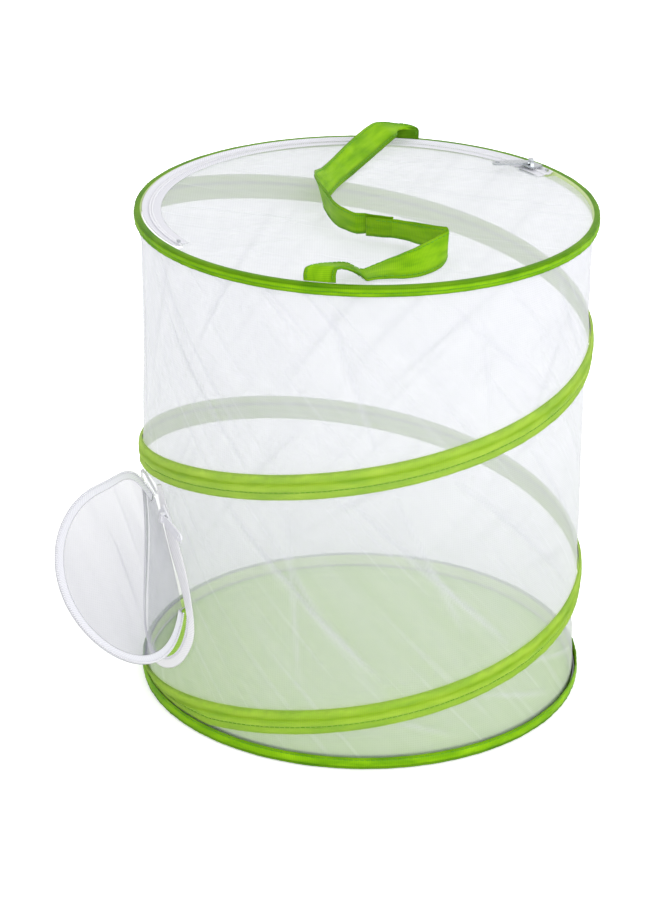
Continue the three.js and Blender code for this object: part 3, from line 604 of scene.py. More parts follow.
# %% [markdown]
# ## Spiral
#
# The spiral starts under the top ring at the left, falls clockwise nearly twice round the cage, and runs out
# on the base ring. Its height falls evenly with the turn. The tape over it stands 3 mm proud of the net. Its
# broad upper part bulges over the wire, and a seam cuts off a narrow flange below. The wire ends first; the
# tape narrows over the last 24 degrees, until the base ring's edge has cut it off.

# %% Spiral route
SPIRAL_START_AZIMUTH = 165
SPIRAL_SWEEP = 675
SPIRAL_START_HEIGHT = HEIGHT - 10.5 * MM
SPIRAL_END_HEIGHT = 10 * MM
SPIRAL_STEPS = 900
NARROWEST_TAPE = 0.4 * MM


def spiral_height(azimuth):
    """Height of the tape's middle: it falls in proportion to the turn from the start."""
    share = (SPIRAL_START_AZIMUTH - azimuth) / SPIRAL_SWEEP
    return SPIRAL_START_HEIGHT + (SPIRAL_END_HEIGHT - SPIRAL_START_HEIGHT) * share


def spiral_edges(azimuth):
    """Heights of the tape's top and bottom edges, which stop at the ring tapes that they run under."""
    middle = spiral_height(azimuth)
    top = np.minimum(middle + CASING_HEIGHT / 2, HEIGHT - TOP_BINDING_HEIGHT - CLEARANCE)
    bottom = np.maximum(middle - CASING_HEIGHT / 2, BASE_BINDING_HEIGHT + CLEARANCE)
    return np.maximum(top, bottom + NARROWEST_TAPE), bottom


TAPE_RUN_OUT = 24
TAPE_SWEEP = SPIRAL_SWEEP + TAPE_RUN_OUT
spiral_azimuth = SPIRAL_START_AZIMUTH - np.linspace(0, TAPE_SWEEP, SPIRAL_STEPS)
print("length of the spiral in m:", round(math.radians(SPIRAL_SWEEP) * RADIUS, 2))

# %% Spiral tape
# Distance out from the net in mm, and share of the way from the top edge to the bottom edge
CASING_LINE = [
    (0.75, 0.02), (1.35, 0.05), (1.95, 0.13), (2.4, 0.24), (2.75, 0.38), (2.8, 0.5), (2.45, 0.62),
    (1.35, 0.7), (1.9, 0.76), (2.2, 0.86), (1.95, 0.95), (0.75, 0.98),
]
CASING_STITCH_SHARE = 0.7
CASING_COLUMNS = 40
CASING_THICKNESS = 0.6 * MM
CASING_PUCKER_PITCHES = (37 * MM, 19 * MM, 11 * MM, 6 * MM)
CASING_PUCKER_SIZE = 0.5 * MM
WANDER_PITCHES = (60 * MM, 23 * MM, 8 * MM)
WANDER_SIZE = 0.35 * MM


def spiral_tape():
    """The casing's line, carried along the spiral between its two edges, with puckers in and out and a small
    wander up and down. It has painted shade at its edges, its seam, its puckers and its last stretch, and
    painted light towards the net."""
    line = np.array(CASING_LINE) * (MM, CASING_HEIGHT)
    outline, across = tape_outline(line, CASING_THICKNESS, CASING_COLUMNS)
    top, bottom = spiral_edges(spiral_azimuth)
    turned, across_tape = spiral_azimuth[:, None], across[None, :-1]
    push = puckers(turned, across_tape, CASING_PUCKER_PITCHES, CASING_PUCKER_SIZE, 11)
    outward = smooth_step(outline[:, 0], 0.8 * MM, 2.2 * MM)
    radius = np.minimum(NET_OUTER + outline[None, :, 0] + push * outward, RADIUS)
    wander = puckers(turned, across_tape, WANDER_PITCHES, WANDER_SIZE, 12)
    height = top[:, None] - (top - bottom)[:, None] / CASING_HEIGHT * outline[None, :, 1]
    inside = np.sin(np.clip(outline[None, :, 1] / CASING_HEIGHT, 0, 1) * math.pi)
    points = polar(radius, turned, height + wander * inside * 0.3)
    pinch_ends(points)
    u = np.radians(SPIRAL_START_AZIMUTH - spiral_azimuth) * RADIUS
    share = outline[:, 1] / CASING_HEIGHT
    # Painted shade at the top edge, along the seam, over the flange below it and at the bottom edge
    dark = (0.5 * bell(share, 0.02, 0.08) + 0.6 * bell(share, CASING_STITCH_SHARE, 0.035)
            + 0.22 * smooth_step(share, 0.7, 0.78) + 0.3 * bell(share, 1, 0.07))
    # Painted shade on the puckers and over the last stretch; painted light on the side facing the net
    painted_pucker_shade = 0.22 * bell(share, 0.12, 0.1) * np.clip(push / (0.35 * MM), -1, 1)
    facing_net = np.arange(2 * CASING_COLUMNS) >= CASING_COLUMNS
    painted_end_shade = 0.45 * smooth_step(np.arange(len(points)) / len(points), 0.93, 0.99)[:, None]
    values = {"painted_shade": np.clip(dark + painted_pucker_shade + painted_end_shade, 0, 1) * ~facing_net,
              "pale": np.broadcast_to(facing_net * 1.0, push.shape)}
    return skin("spiral_tape", points, u, across, casing_tape, close_columns=True, merge=True, values=values)


spiral_casing = finish_piece(spiral_tape(), "spiral_casing", "base", folds=True)
print("spiral tape:", len(spiral_casing.data.polygons), "faces")

# %% [markdown]
# The wire inside is drawn spring steel, 1.8 mm thick. The tape covers it on the outside and the net on the
# inside. It is a circle carried along the spiral a little above the tape's middle.

# %% Spiral wire
WIRE_RADIUS = 0.9 * MM
CASING_WALL = 0.7 * MM
WIRE_PLACE = (NET_OUTER + CLEARANCE + RADIUS - CASING_WALL) / 2
WIRE_RISE = 2.5 * MM
WIRE_LIP = 0.8 * MM
WIRE_ROWS = 700
WIRE_COLUMNS = 10


def spiral_wire():
    """A circle round the wire's middle at each azimuth of the spiral, shrinking to a point at both ends."""
    limit = HEIGHT - TOP_BINDING_HEIGHT - 2 * CLEARANCE - WIRE_LIP - WIRE_RADIUS
    first = SPIRAL_START_AZIMUTH - (SPIRAL_START_HEIGHT + WIRE_RISE - limit) / (
        SPIRAL_START_HEIGHT - SPIRAL_END_HEIGHT) * SPIRAL_SWEEP
    azimuth = np.linspace(first, SPIRAL_START_AZIMUTH - SPIRAL_SWEEP, WIRE_ROWS)
    turn = np.linspace(0, 2 * math.pi, WIRE_COLUMNS, endpoint=False)
    size = np.full(len(azimuth), WIRE_RADIUS)
    size[[0, -1]] = 0
    radius = WIRE_PLACE + size[:, None] * np.cos(turn)
    height = spiral_height(azimuth)[:, None] + WIRE_RISE + size[:, None] * np.sin(turn)
    u = np.radians(first - azimuth) * RADIUS
    v = np.linspace(0, 2 * math.pi * WIRE_RADIUS, len(turn) + 1)
    return skin("spiral_spring_wire", polar(radius, azimuth[:, None], height), u, v, spring_steel,
                close_columns=True, merge=True)


spring_wire = finish_piece(spiral_wire(), "spiral_wire", "base", folds=True)
print("spiral wire:", len(spring_wire.data.polygons), "faces")

# %% [markdown]
# ## Stitches
#
# A lockstitch shows on the face as short bars of thread, here 2.8 mm long with 0.8 mm between them. Each is a
# flat block of six faces with sloping sides. They are worked out all at once from the seam's points, its
# direction and the direction out of the cloth.

# %% Stitches
STITCH_PITCH = 3.6 * MM
STITCH_LENGTH = 2.8 * MM
STITCH_WIDTH = 0.55 * MM
STITCH_HEIGHT = 0.3 * MM
BAR_FACES = 6
RING_SEAM_DEPTH = 1.05 * MM
CASING_SEAM_RISE = 1.6 * MM
SEAM_STEPS = 720
# How long and how wide a bar's top is, as a share of its foot
BAR_TOP_LENGTH = 0.8
BAR_TOP_WIDTH = 0.62


def bars(name, place, along, out, size, material):
    """Small bars with sloping ends. Each has eight corners: four at its foot, and four drawn in at its top.
    size is its length along, its width across and its height out."""
    across = np.cross(out, along)
    corners = []
    for height, shorter, narrower in ((0, 1, 1), (1, BAR_TOP_LENGTH, BAR_TOP_WIDTH)):
        for a, b in ((-1, -1), (1, -1), (1, 1), (-1, 1)):
            corners.append(place + along * a * size[0] / 2 * shorter
                           + across * b * size[1] / 2 * narrower + out * height * size[2])
    points = np.stack(corners, 1)
    block = np.array([(3, 2, 1, 0), (4, 5, 6, 7), (0, 1, 5, 4), (1, 2, 6, 5), (2, 3, 7, 6), (3, 0, 4, 7)])
    faces = (block[None] + 8 * np.arange(len(place))[:, None, None]).reshape(-1, 4)
    flat = points.reshape(-1, 3)
    if signed_volume(flat, faces) < 0:
        faces = faces[:, ::-1]
    return mesh_object(name, flat, faces, material)


def unit(vectors):
    """Vectors of the same directions and of length one."""
    return vectors / np.linalg.norm(vectors, axis=-1, keepdims=True)


def at_pitch(line, pitch, *sources):
    """Each source, given at a line's points, read off in straight steps at every pitch along the line."""
    length = distances(line)
    wanted = np.arange(pitch / 2, length[-1], pitch)
    return [np.stack([np.interp(wanted, length, source[:, k]) for k in range(3)], -1) for source in sources]


def seam(name, line, out):
    """Stitches at even steps along a line of points. out is the direction out of the cloth at each point."""
    place, along, outward = at_pitch(line, STITCH_PITCH, line, np.gradient(line, axis=0), out)
    size = (STITCH_LENGTH, STITCH_WIDTH, STITCH_HEIGHT)
    return bars(name, place, unit(along), unit(outward), size, green_thread)


def ring_seam(name, height, body):
    """Stitches round a ring's tape at a height, facing outwards."""
    azimuth = np.linspace(0, FULL_TURN, SEAM_STEPS)
    piece = seam(name, polar(RADIUS - RING_SEAM_DEPTH, azimuth, height), polar(1, azimuth, 0))
    finish_piece(piece, None, body)


ring_seam("top_ring_stitches", HEIGHT - TOP_BINDING_HEIGHT + TOP_SEAM_MM * MM, "top_ring")
ring_seam("base_ring_stitches", BASE_BINDING_HEIGHT - BASE_SEAM_MM * MM, "base")
top_edge, bottom_edge = spiral_edges(spiral_azimuth)
seam_height = top_edge - (top_edge - bottom_edge) * CASING_STITCH_SHARE
casing_stitches = seam("spiral_stitches", polar(NET_OUTER + CASING_SEAM_RISE, spiral_azimuth, seam_height),
                       polar(1, spiral_azimuth, 0))
finish_piece(casing_stitches, None, "base", folds=True)
print("stitches on the spiral:", len(casing_stitches.data.polygons) // BAR_FACES)

# %% [markdown]
# ## Creases of the net
#
# Net that is folded flat for storage keeps its creases, and the spiral pulls it into long slanting folds.
# Both are small dents of the sheet. Long soft waves give the slack, and each crease is a narrow ridge or
# groove along a straight line on the unrolled wall. Near a seam the net is held, so everything fades there.

# %% Dents of the wall
def crease(x, y, start, end, depth, width):
    """A groove along a line from start to end: depth times a bell curve of the distance to the line, which
    fades at the line's ends."""
    start, end = np.array(start), np.array(end)
    span = end - start
    share = ((x - start[0]) * span[0] + (y - start[1]) * span[1]) / np.sum(span**2)
    near = np.clip(share, 0, 1)
    gap = np.hypot(x - start[0] - near * span[0], y - start[1] - near * span[1])
    return depth * bell(gap, 0, width) * np.sin(math.pi * np.clip(share, 0.03, 0.97)) ** 0.5


# Azimuth in degrees and height in mm of each crease's two ends, its depth and its half width in mm
WALL_CREASES = [
    (-158, 318, -118, 196, 0.9, 2.2), (-150, 316, -128, 226, -0.5, 4), (-100, 322, -86, 214, 0.8, 5),
    (-70, 318, -40, 246, 0.7, 5), (-36, 320, -20, 252, 0.9, 6), (-62, 322, -58, 228, -0.6, 7),
    (-12, 318, 6, 268, 0.8, 4), (-176, 318, -168, 190, 1, 6), (-128, 178, -84, 60, 1.2, 2.4),
    (-118, 182, -98, 96, -0.8, 5), (-96, 196, -50, 74, 1.2, 2.6), (-84, 200, -64, 92, -0.8, 6),
    (-70, 208, -22, 90, 1.1, 3), (-46, 214, -10, 104, 0.9, 5), (-30, 220, -8, 150, -0.7, 6),
    (-110, 190, -106, 56, 0.7, 7), (-60, 44, -30, 16, 0.9, 3), (-86, 38, -64, 14, 0.9, 3),
    (-40, 52, -8, 22, 1, 3.5), (-20, 56, 2, 34, 0.8, 3), (40, 262, 84, 142, 1, 3),
    (70, 282, 110, 160, 0.8, 5), (112, 300, 150, 176, 1, 3), (150, 306, 172, 182, 0.8, 5),
    (20, 240, 38, 130, 0.9, 5), (60, 100, 110, 24, 1, 4), (100, 128, 150, 30, 0.9, 4),
    (10, 80, 40, 20, 0.9, 4), (140, 150, 170, 60, 0.8, 4),
]
SOFT_WAVE = 0.3 * MM
CREASE_GAIN = 1.6
# The whiter line along a crease, partly a painted highlight, has this share of the crease's width, up to so
# many mm
LINE_SHARE = 0.8
WIDEST_LINE = 2.4
FURTHEST_OUT = 0.1 * MM


def wall_dent(azimuth, height):
    """How far the wall net stands out from its even cylinder, soft waves and creases, held at every seam, and
    the share of a full crease at each place."""
    x = np.radians(azimuth) * NET_OUTER
    soft = (np.sin(x * 61 + height * 23) + np.sin(x * 37 - height * 41 + 1.3)
            + 0.7 * np.sin(x * 97 + height * 67 + 2.1)) * SOFT_WAVE
    folds = np.zeros(np.broadcast(azimuth, height).shape)
    lines = np.zeros(folds.shape)
    for first, first_height, last, last_height, depth, width in WALL_CREASES:
        for turn in (-FULL_TURN, 0):
            ends = [(math.radians(a + turn) * NET_OUTER, h * MM)
                    for a, h in ((first, first_height), (last, last_height))]
            folds = folds - crease(x, height, *ends, depth * CREASE_GAIN * MM, width * MM)
            line_width = min(width, WIDEST_LINE) * LINE_SHARE * MM
            lines = np.maximum(lines, crease(x, height, *ends, abs(depth), line_width))
    held = smooth_step(height, 9 * MM, 24 * MM) * smooth_step(HEIGHT - height, 12 * MM, 28 * MM)
    for turn in (-2, -1, 0, 1):
        gap = np.abs(height - spiral_height(azimuth + turn * FULL_TURN))
        held = held * smooth_step(gap, 8 * MM, 18 * MM)
    slack = (np.sin(np.radians(azimuth) * 5) * 0.4 - 0.9) * MM
    return np.minimum((soft + folds + slack) * held, FURTHEST_OUT), np.clip(lines, 0, 1) * held


# %% [markdown]
# ## Door opening
#
# The door is an oval, low on the left. Its upper front side is not zipped but folded along a straight line,
# so the hole in the wall is an oval with one side cut straight. Places on the wall are an arc length round
# from the door's middle, and a height. Seen from the door's middle, the hole's edge is one distance for each
# angle, which makes the net round it easy to lay out.

# %% Door sizes
DOOR_AZIMUTH = -162.5
DOOR_HALF_WIDTH = 56.5 * MM
DOOR_SILL = 24 * MM
DOOR_DROP = 5.7 * MM
door_top = spiral_height(DOOR_AZIMUTH) - CASING_HEIGHT / 2 - DOOR_DROP
door_bottom = BASE_BINDING_HEIGHT + DOOR_SILL
DOOR_HALF_HEIGHT = (door_top - door_bottom) / 2
DOOR_CENTRE_HEIGHT = door_bottom + DOOR_HALF_HEIGHT
FOLD_TOP_ANGLE = 68
FOLD_BOTTOM_ANGLE = -8
DOOR_HALF_GAP = 0.6 * MM
FOLD_GAP = 0.05 * MM
FRAME_SWELL = 4.2 * MM
FRAME_SWELL_ANGLE = 325
FRAME_SWELL_SPREAD = 30
# The fold's line counts only for directions that are not nearly along it
GRAZING_COSINE = 0.05


def oval(angle, offset=0):
    """Places on the door's oval, pushed outwards by an offset."""
    turn = np.radians(angle)
    return np.stack([(DOOR_HALF_WIDTH + offset) * np.cos(turn),
                     DOOR_CENTRE_HEIGHT + (DOOR_HALF_HEIGHT + offset) * np.sin(turn)], -1)


def oval_line(angles, offsets):
    """Places along the oval, each pushed outwards by its own offset."""
    return np.stack([oval(np.array([angle]), offset)[0] for angle, offset in zip(angles, offsets)])


fold_ends = oval(np.array([FOLD_TOP_ANGLE, FOLD_BOTTOM_ANGLE]))
fold_along = unit(fold_ends[1] - fold_ends[0])
fold_inward = np.array([fold_along[1], -fold_along[0]])


def fold_line(share, gap):
    """Places on the straight fold at a share of its length, moved into the door by a gap."""
    return fold_ends[0] + np.asarray(share)[..., None] * (fold_ends[1] - fold_ends[0]) + fold_inward * gap


def on_wall(radius, places):
    """Points of the wall at a radius, for places given as an arc length and a height."""
    return polar(radius, DOOR_AZIMUTH + np.degrees(places[..., 0] / NET_OUTER), places[..., 1])


def frame_swell(angle):
    """The wall's tape stands out a little from the oval at the lower right, where the net pulls it."""
    return FRAME_SWELL * bell(angle, FRAME_SWELL_ANGLE, FRAME_SWELL_SPREAD)


def hole_edge(angle):
    """The hole's edge as seen from the door's middle: the oval's radius there, or the fold's where nearer."""
    turn = np.radians(angle)
    direction = np.stack([np.cos(turn), np.sin(turn)], -1)
    wide, high = DOOR_HALF_WIDTH + DOOR_HALF_GAP, DOOR_HALF_HEIGHT + DOOR_HALF_GAP
    reach = 1 / np.hypot(direction[:, 0] / wide, direction[:, 1] / high)
    middle = np.array([0, DOOR_CENTRE_HEIGHT])
    facing = -(direction @ fold_inward)
    distance = -((fold_ends[0] - middle) @ fold_inward) + FOLD_GAP
    straight = np.where(facing > GRAZING_COSINE, distance / np.maximum(facing, GRAZING_COSINE), np.inf)
    return middle + direction * (np.minimum(reach, straight) + frame_swell(angle % FULL_TURN))[:, None]


print("door in mm:", round(2 * DOOR_HALF_WIDTH / MM), "by", round(2 * DOOR_HALF_HEIGHT / MM, 1))

# %% [markdown]
# ## Wall net
#
# The wall is a grid of azimuths and heights with a block of it left out round the door. The gap between that
# block and the oval hole is filled with rings of points that turn from the one shape into the other.

# %% Wall net
WALL_COLUMNS = 432
WALL_ROWS = 176
WALL_BOTTOM = 4.2 * MM
WALL_TOP = HEIGHT - WALL_BOTTOM
DOOR_RINGS = 10
BLOCK_MARGIN = 9 * MM
BLOCK_TOP_MARGIN = 6 * MM


def wall_net():
    """The wall's grid without the block round the door, and the rings between that block and the hole."""
    azimuth = DOOR_AZIMUTH + np.linspace(-180, 180, WALL_COLUMNS + 1)[:-1]
    height = np.linspace(WALL_BOTTOM, WALL_TOP, WALL_ROWS + 1)
    step = 2 * math.pi * NET_OUTER / WALL_COLUMNS
    reach = math.ceil((DOOR_HALF_WIDTH + BLOCK_MARGIN) / step)
    left, right = WALL_COLUMNS // 2 - reach, WALL_COLUMNS // 2 + reach
    low = int(np.searchsorted(height, door_bottom - BLOCK_MARGIN)) - 1
    high = int(np.searchsorted(height, door_top + BLOCK_TOP_MARGIN))

    places = np.stack(np.broadcast_arrays(azimuth[None, :], height[:, None]), -1).reshape(-1, 2)
    rows, columns = grid_faces(WALL_ROWS + 1, WALL_COLUMNS, close_columns=True)
    outside = ~((rows[:, 0] >= low) & (rows[:, 0] < high) & (columns[:, 0] >= left) & (columns[:, 0] < right))
    faces = (rows * WALL_COLUMNS + columns % WALL_COLUMNS)[outside]
    turned = azimuth[0] + columns[outside] * FULL_TURN / WALL_COLUMNS
    loop_places = np.stack([turned, height[rows[outside]]], -1)

    edge = ([(low, c) for c in range(left, right)] + [(r, right) for r in range(low, high)]
            + [(high, c) for c in range(right, left, -1)] + [(r, left) for r in range(high, low, -1)])
    rim = np.array([r * WALL_COLUMNS + c for r, c in edge])
    rim_places = places[rim]
    away = rim_places - (DOOR_AZIMUTH, DOOR_CENTRE_HEIGHT)
    angle = np.degrees(np.arctan2(away[:, 1], np.radians(away[:, 0]) * NET_OUTER))
    hole = hole_edge(angle)
    hole_places = np.stack([DOOR_AZIMUTH + np.degrees(hole[:, 0] / NET_OUTER), hole[:, 1]], -1)
    share = np.arange(DOOR_RINGS)[:, None, None] / DOOR_RINGS
    rings = hole_places * (1 - share) + rim_places * share
    new_points = len(places) + np.arange(DOOR_RINGS * len(rim)).reshape(DOOR_RINGS, -1)
    index = np.concatenate([new_points, rim[None]])
    all_places = np.concatenate([places, rings.reshape(-1, 2)])
    ring_rows, ring_columns = grid_faces(DOOR_RINGS + 1, len(rim), close_columns=True)
    ring_faces = index[ring_rows, ring_columns % len(rim)][:, ::-1]

    dent, lines = wall_dent(all_places[:, 0], all_places[:, 1])
    points = polar(NET_MIDDLE + dent, *all_places.T)
    loops = np.concatenate([loop_places, all_places[ring_faces]])
    loop_uv = loops * (math.radians(1) * NET_OUTER, 1)
    return mesh_object("wall_net_cloth", points, np.concatenate([faces, ring_faces]), wall_mesh, loop_uv,
                       values={"crease": lines})


wall = finish_piece(wall_net(), "wall_net", "base", folds=True)

# %% [markdown]
# ## Floor and lid nets
#
# A flat panel is laid out as rings that shrink from its outline to a point inside it. The floor is a disc of
# green taffeta, sewn into the base ring. A cage of this kind is stored folded, so the floor has a few soft
# creases, which show through the wall.

# %% Flat panels
def shrunk(outline, centre, rings):
    """Copies of an outline that shrink evenly to its centre, one row each. The last is a single point."""
    share = np.linspace(1, 0, rings)[:, None, None]
    return centre + (outline - centre) * share


def flat_dent(places, creases, soft):
    """Soft waves, and the creases given as (x, y) ends in mm, a depth in mm and a half width in mm."""
    x, y = places[..., 0], places[..., 1]
    total = soft * (np.sin(x * 47 + y * 21) + np.sin(x * 29 - y * 53 + 1) + np.sin(x * 71 + y * 83 + 2)) / 3
    for x0, y0, x1, y1, depth, width in creases:
        total = total + crease(x, y, (x0 * MM, y0 * MM), (x1 * MM, y1 * MM), depth * MM, width * MM)
    return total


FLOOR_CREASES = [
    (-140, -12, 60, -30, 0.8, 4), (-20, -140, 10, 90, 0.7, 5), (-110, -70, -20, -110, 0.8, 4),
    (20, -130, 110, -60, 0.8, 4), (-60, 40, 90, 60, 0.6, 6), (30, -40, 130, -10, 0.6, 5),
]
FLOOR_COLUMNS = 180
FLOOR_RINGS = 44
FLOOR_EDGE = 0.6 * MM
FLOOR_MIDDLE = 0.9 * MM
FLOOR_WAVE = 0.35 * MM
FLOOR_DEEPEST = 0.5 * MM
FLOOR_HELD_WIDTH = 12 * MM
# The weave's spacing round the disc is true at this radius
FLOOR_WEAVE_RADIUS = 0.1


def floor_panel():
    """A closed disc: its top has the creases, and its underside is flat."""
    azimuth = np.linspace(0, FULL_TURN, FLOOR_COLUMNS, endpoint=False)
    rings = shrunk(polar(PANEL_RADIUS, azimuth, 0)[..., :2], np.zeros(2), FLOOR_RINGS)
    places = rings.transpose(1, 0, 2)
    raised = FLOOR_MIDDLE + np.maximum(flat_dent(places, FLOOR_CREASES, FLOOR_WAVE), -FLOOR_DEEPEST)
    held = smooth_step(PANEL_RADIUS - np.hypot(places[..., 0], places[..., 1]), 0, FLOOR_HELD_WIDTH)
    top = np.concatenate([places, (FLOOR_EDGE + (raised - FLOOR_EDGE) * held)[..., None]], -1)
    bottom = np.concatenate([places, np.zeros(places.shape[:2] + (1,))], -1)[:, ::-1]
    u = np.radians(np.append(azimuth, FULL_TURN)) * FLOOR_WEAVE_RADIUS
    across = distances(top[0])
    return skin("floor_cloth", np.concatenate([top, bottom], 1), u,
                np.concatenate([across, across[::-1], across[:1]]), floor_cloth, close_rows=True,
                close_columns=True, merge=True)


cloth = finish_piece(floor_panel(), "floor_panel", "base")
print("floor panel across in mm:", round(2 * PANEL_RADIUS / MM, 1))

# %% [markdown]
# The lid has two panels of net. One is sewn into the ring, except along the zip. The other hangs on a
# straight fold across the lid, and the zip holds it along the ring. Both sag a little, and creases run in
# from the ring and the zip.

# %% Lid panels
LID_LEVEL = HEIGHT - 2.3 * MM
ZIP_RADIUS = BINDING_INNER - 6.5 * MM
ZIP_START = 30
FOLD_START = 44
ZIP_END = 214
ZIP_MARGIN = 0.5
ZIP_GAP = 0.6 * MM
ZIP_TAPE = 6 * MM
ZIP_TEETH = 1.6 * MM
PANEL_RINGS = 46
ARC_STEPS = 260
FOLD_STEPS = 140
SHORT_ARC_STEPS = 20
STUB_STEPS = 4
LID_WAVE = 0.5 * MM
FLAP_SAG = 1.5 * MM
PANEL_SAG = 1.8 * MM
# How far the points to which the two outlines shrink are from the lid's middle, across the fold
FLAP_CENTRE = 70 * MM
PANEL_CENTRE = -60 * MM
# A sagging panel is about a thousandth larger than its flat cut
LID_CREASES = [
    (-110, -60, 20, 10, 0.9, 4), (96, 88, 10, 6, 0.9, 4), (60, 110, -40, 60, 0.8, 4),
    (0, 134, -60, 40, 0.8, 5), (-90, 90, -20, 10, 0.8, 5), (-136, 0, -50, -20, 0.9, 4),
    (110, -70, 20, -20, 0.8, 5), (60, -120, 30, -20, 0.8, 4), (-40, -135, -20, -40, 0.9, 4),
    (-100, -90, -30, -50, 0.8, 4), (130, 30, 40, 10, 0.7, 5),
]

fold_from, fold_to = polar(ZIP_RADIUS, np.array([FOLD_START, ZIP_END]), 0)[:, :2]
lid_along = unit(fold_to - fold_from)
lid_side = np.array([lid_along[1], -lid_along[0]])
fold_distance = fold_from @ lid_side


def arc(radius, start, end, count):
    """Places on an arc about Z between two azimuths."""
    return polar(radius, np.linspace(start, end, count), 0)[..., :2]


def chord_azimuth(radius, gap):
    """Azimuths where a circle crosses the fold moved by a gap."""
    middle = math.degrees(math.atan2(lid_side[1], lid_side[0]))
    half = math.degrees(math.acos((fold_distance + gap) / radius))
    return middle - half, middle + half


def straight(start, end, count):
    """Places on a straight line between two places."""
    return start + np.linspace(0, 1, count)[:, None] * (end - start)


def lid_panel(name, outline, centre, sag):
    """Net over an outline, which sags in the middle and has the lid's creases. Its UV map is the flat places,
    so the weave runs straight across."""
    rings = shrunk(outline, centre, PANEL_RINGS)
    share = np.linspace(1, 0, PANEL_RINGS)[:, None]
    dent = flat_dent(rings, LID_CREASES, LID_WAVE) - sag * (1 - share**2)
    height = LID_LEVEL + np.minimum(dent * smooth_step(1 - share, 0.02, 0.16), FURTHEST_OUT)
    points = np.concatenate([rings, height[..., None]], -1).reshape(-1, 3)
    rows, columns = grid_faces(PANEL_RINGS, len(outline), close_columns=True)
    faces = rows * len(outline) + columns % len(outline)
    return mesh_object(name, points, faces, lid_mesh, points[:, :2][faces], merge=True)


zip_inner = ZIP_RADIUS - ZIP_GAP
first, last = chord_azimuth(zip_inner, FOLD_GAP)
flap_arc = arc(zip_inner, first, last, ARC_STEPS)
flap_outline = np.concatenate([flap_arc, straight(flap_arc[-1], flap_arc[0], FOLD_STEPS)[1:-1]])
lid_flap = lid_panel("lid_flap_cloth", flap_outline, lid_side * FLAP_CENTRE, FLAP_SAG)

first, last = chord_azimuth(zip_inner, -FOLD_GAP)
panel_outline = np.concatenate([
    arc(PANEL_RADIUS, ZIP_END + ZIP_MARGIN, FULL_TURN + ZIP_START - ZIP_MARGIN, ARC_STEPS),
    arc(zip_inner, FULL_TURN + ZIP_START - ZIP_MARGIN, FULL_TURN + first, SHORT_ARC_STEPS),
    straight(polar(zip_inner, first, 0)[:2], polar(zip_inner, last, 0)[:2], FOLD_STEPS)[1:-1],
    arc(zip_inner, last, ZIP_END + ZIP_MARGIN, STUB_STEPS),
])
lid_fixed = lid_panel("lid_panel_cloth", panel_outline, lid_side * PANEL_CENTRE, PANEL_SAG)

for piece, node, body in ((lid_flap, "lid_flap_net", "lid_flap"), (lid_fixed, "lid_panel", "top_ring")):
    finish_piece(piece, node, body)

# %% [markdown]
# ## Zips
#
# Both zips are the same kind: a woven tape on each side with a nylon coil sewn to its edge. A tape is a flat
# ribbon between two edge lines, with rounded edges. The coil shows as short bars across the gap, one every
# 1.5 mm.

# %% Ribbons
EDGE_SQUARENESS = 5


def ribbon(name, low, high, out, thickness, material, columns=9, relief=None, painted_shade=None):
    """A closed ribbon between two edge lines. Its faces stand half the thickness to each side along the
    direction out, less near the edges, and it is pinched shut at both ends. relief moves both faces out, and
    the shade values darken their colour as painted shade."""
    share = np.linspace(0, 1, columns)
    middle = low[:, None] + share[:, None] * (high - low)[:, None]
    half = thickness / 2 * np.sqrt(1 - np.abs(2 * share - 1) ** EDGE_SQUARENESS)
    half = np.repeat(half[None], len(low), 0)
    half[[0, -1]] = 0
    if relief is not None:
        middle = middle + relief[..., None] * out[:, None]
    rise = half[..., None] * out[:, None]
    points = np.concatenate([middle + rise, (middle - rise)[:, ::-1]], 1)
    across = share * np.linalg.norm(high[0] - low[0])
    values = None if painted_shade is None else {"painted_shade": np.concatenate([painted_shade, painted_shade[:, ::-1]], 1)}
    return skin(name, points, distances((low + high) / 2), np.concatenate([across, across[::-1], across[:1]]),
                material, close_columns=True, merge=True, values=values)


TOOTH_PITCH = 1.5 * MM
TOOTH_LENGTH = ZIP_TEETH * 1.05
TOOTH_WIDTH = 0.95 * MM
TEETH_HEIGHT = 0.7 * MM


def coil(name, line, into_gap, out):
    """A row of nylon teeth at even steps along a line: bars that point into the gap."""
    place, toward, up = at_pitch(line, TOOTH_PITCH, line, into_gap, out)
    return bars(name, place, unit(toward), unit(up), (TOOTH_LENGTH, TOOTH_WIDTH, TEETH_HEIGHT), zip_nylon)


# %% Lid zip
LID_TAPE_HEIGHT = HEIGHT - 1.4 * MM
LID_TEETH_FOOT = HEIGHT - 1.1 * MM
LID_TAPE_THICKNESS = TAPE_THICKNESS * 0.8
RIM_TAPE_THICKNESS = 0.35 * MM
RIM_COLUMNS = 14
ROWS_PER_DEGREE = 2
FEWEST_ROWS = 12
UP = np.array([0, 0, 1.0])
# The rim's tape, seen end on in mm, as (radius, height from the top ring's top face)
RIM_LINE = [(141.65, -1.4), (143.6, -1.3), (145.0, -0.8), (145.9, -0.1), (147.0, 0.0)]


def swept_tape(name, line, thickness, azimuth, material):
    """A tape seen end on as a line, carried between two azimuths and pinched shut at both."""
    outline, across = tape_outline(line, thickness, RIM_COLUMNS)
    points = polar(outline[None, :, 0], azimuth[:, None], outline[None, :, 1])
    pinch_ends(points)
    return skin(name, points, np.radians(azimuth - azimuth[0]) * RADIUS, across, material, close_columns=True,
                merge=True)


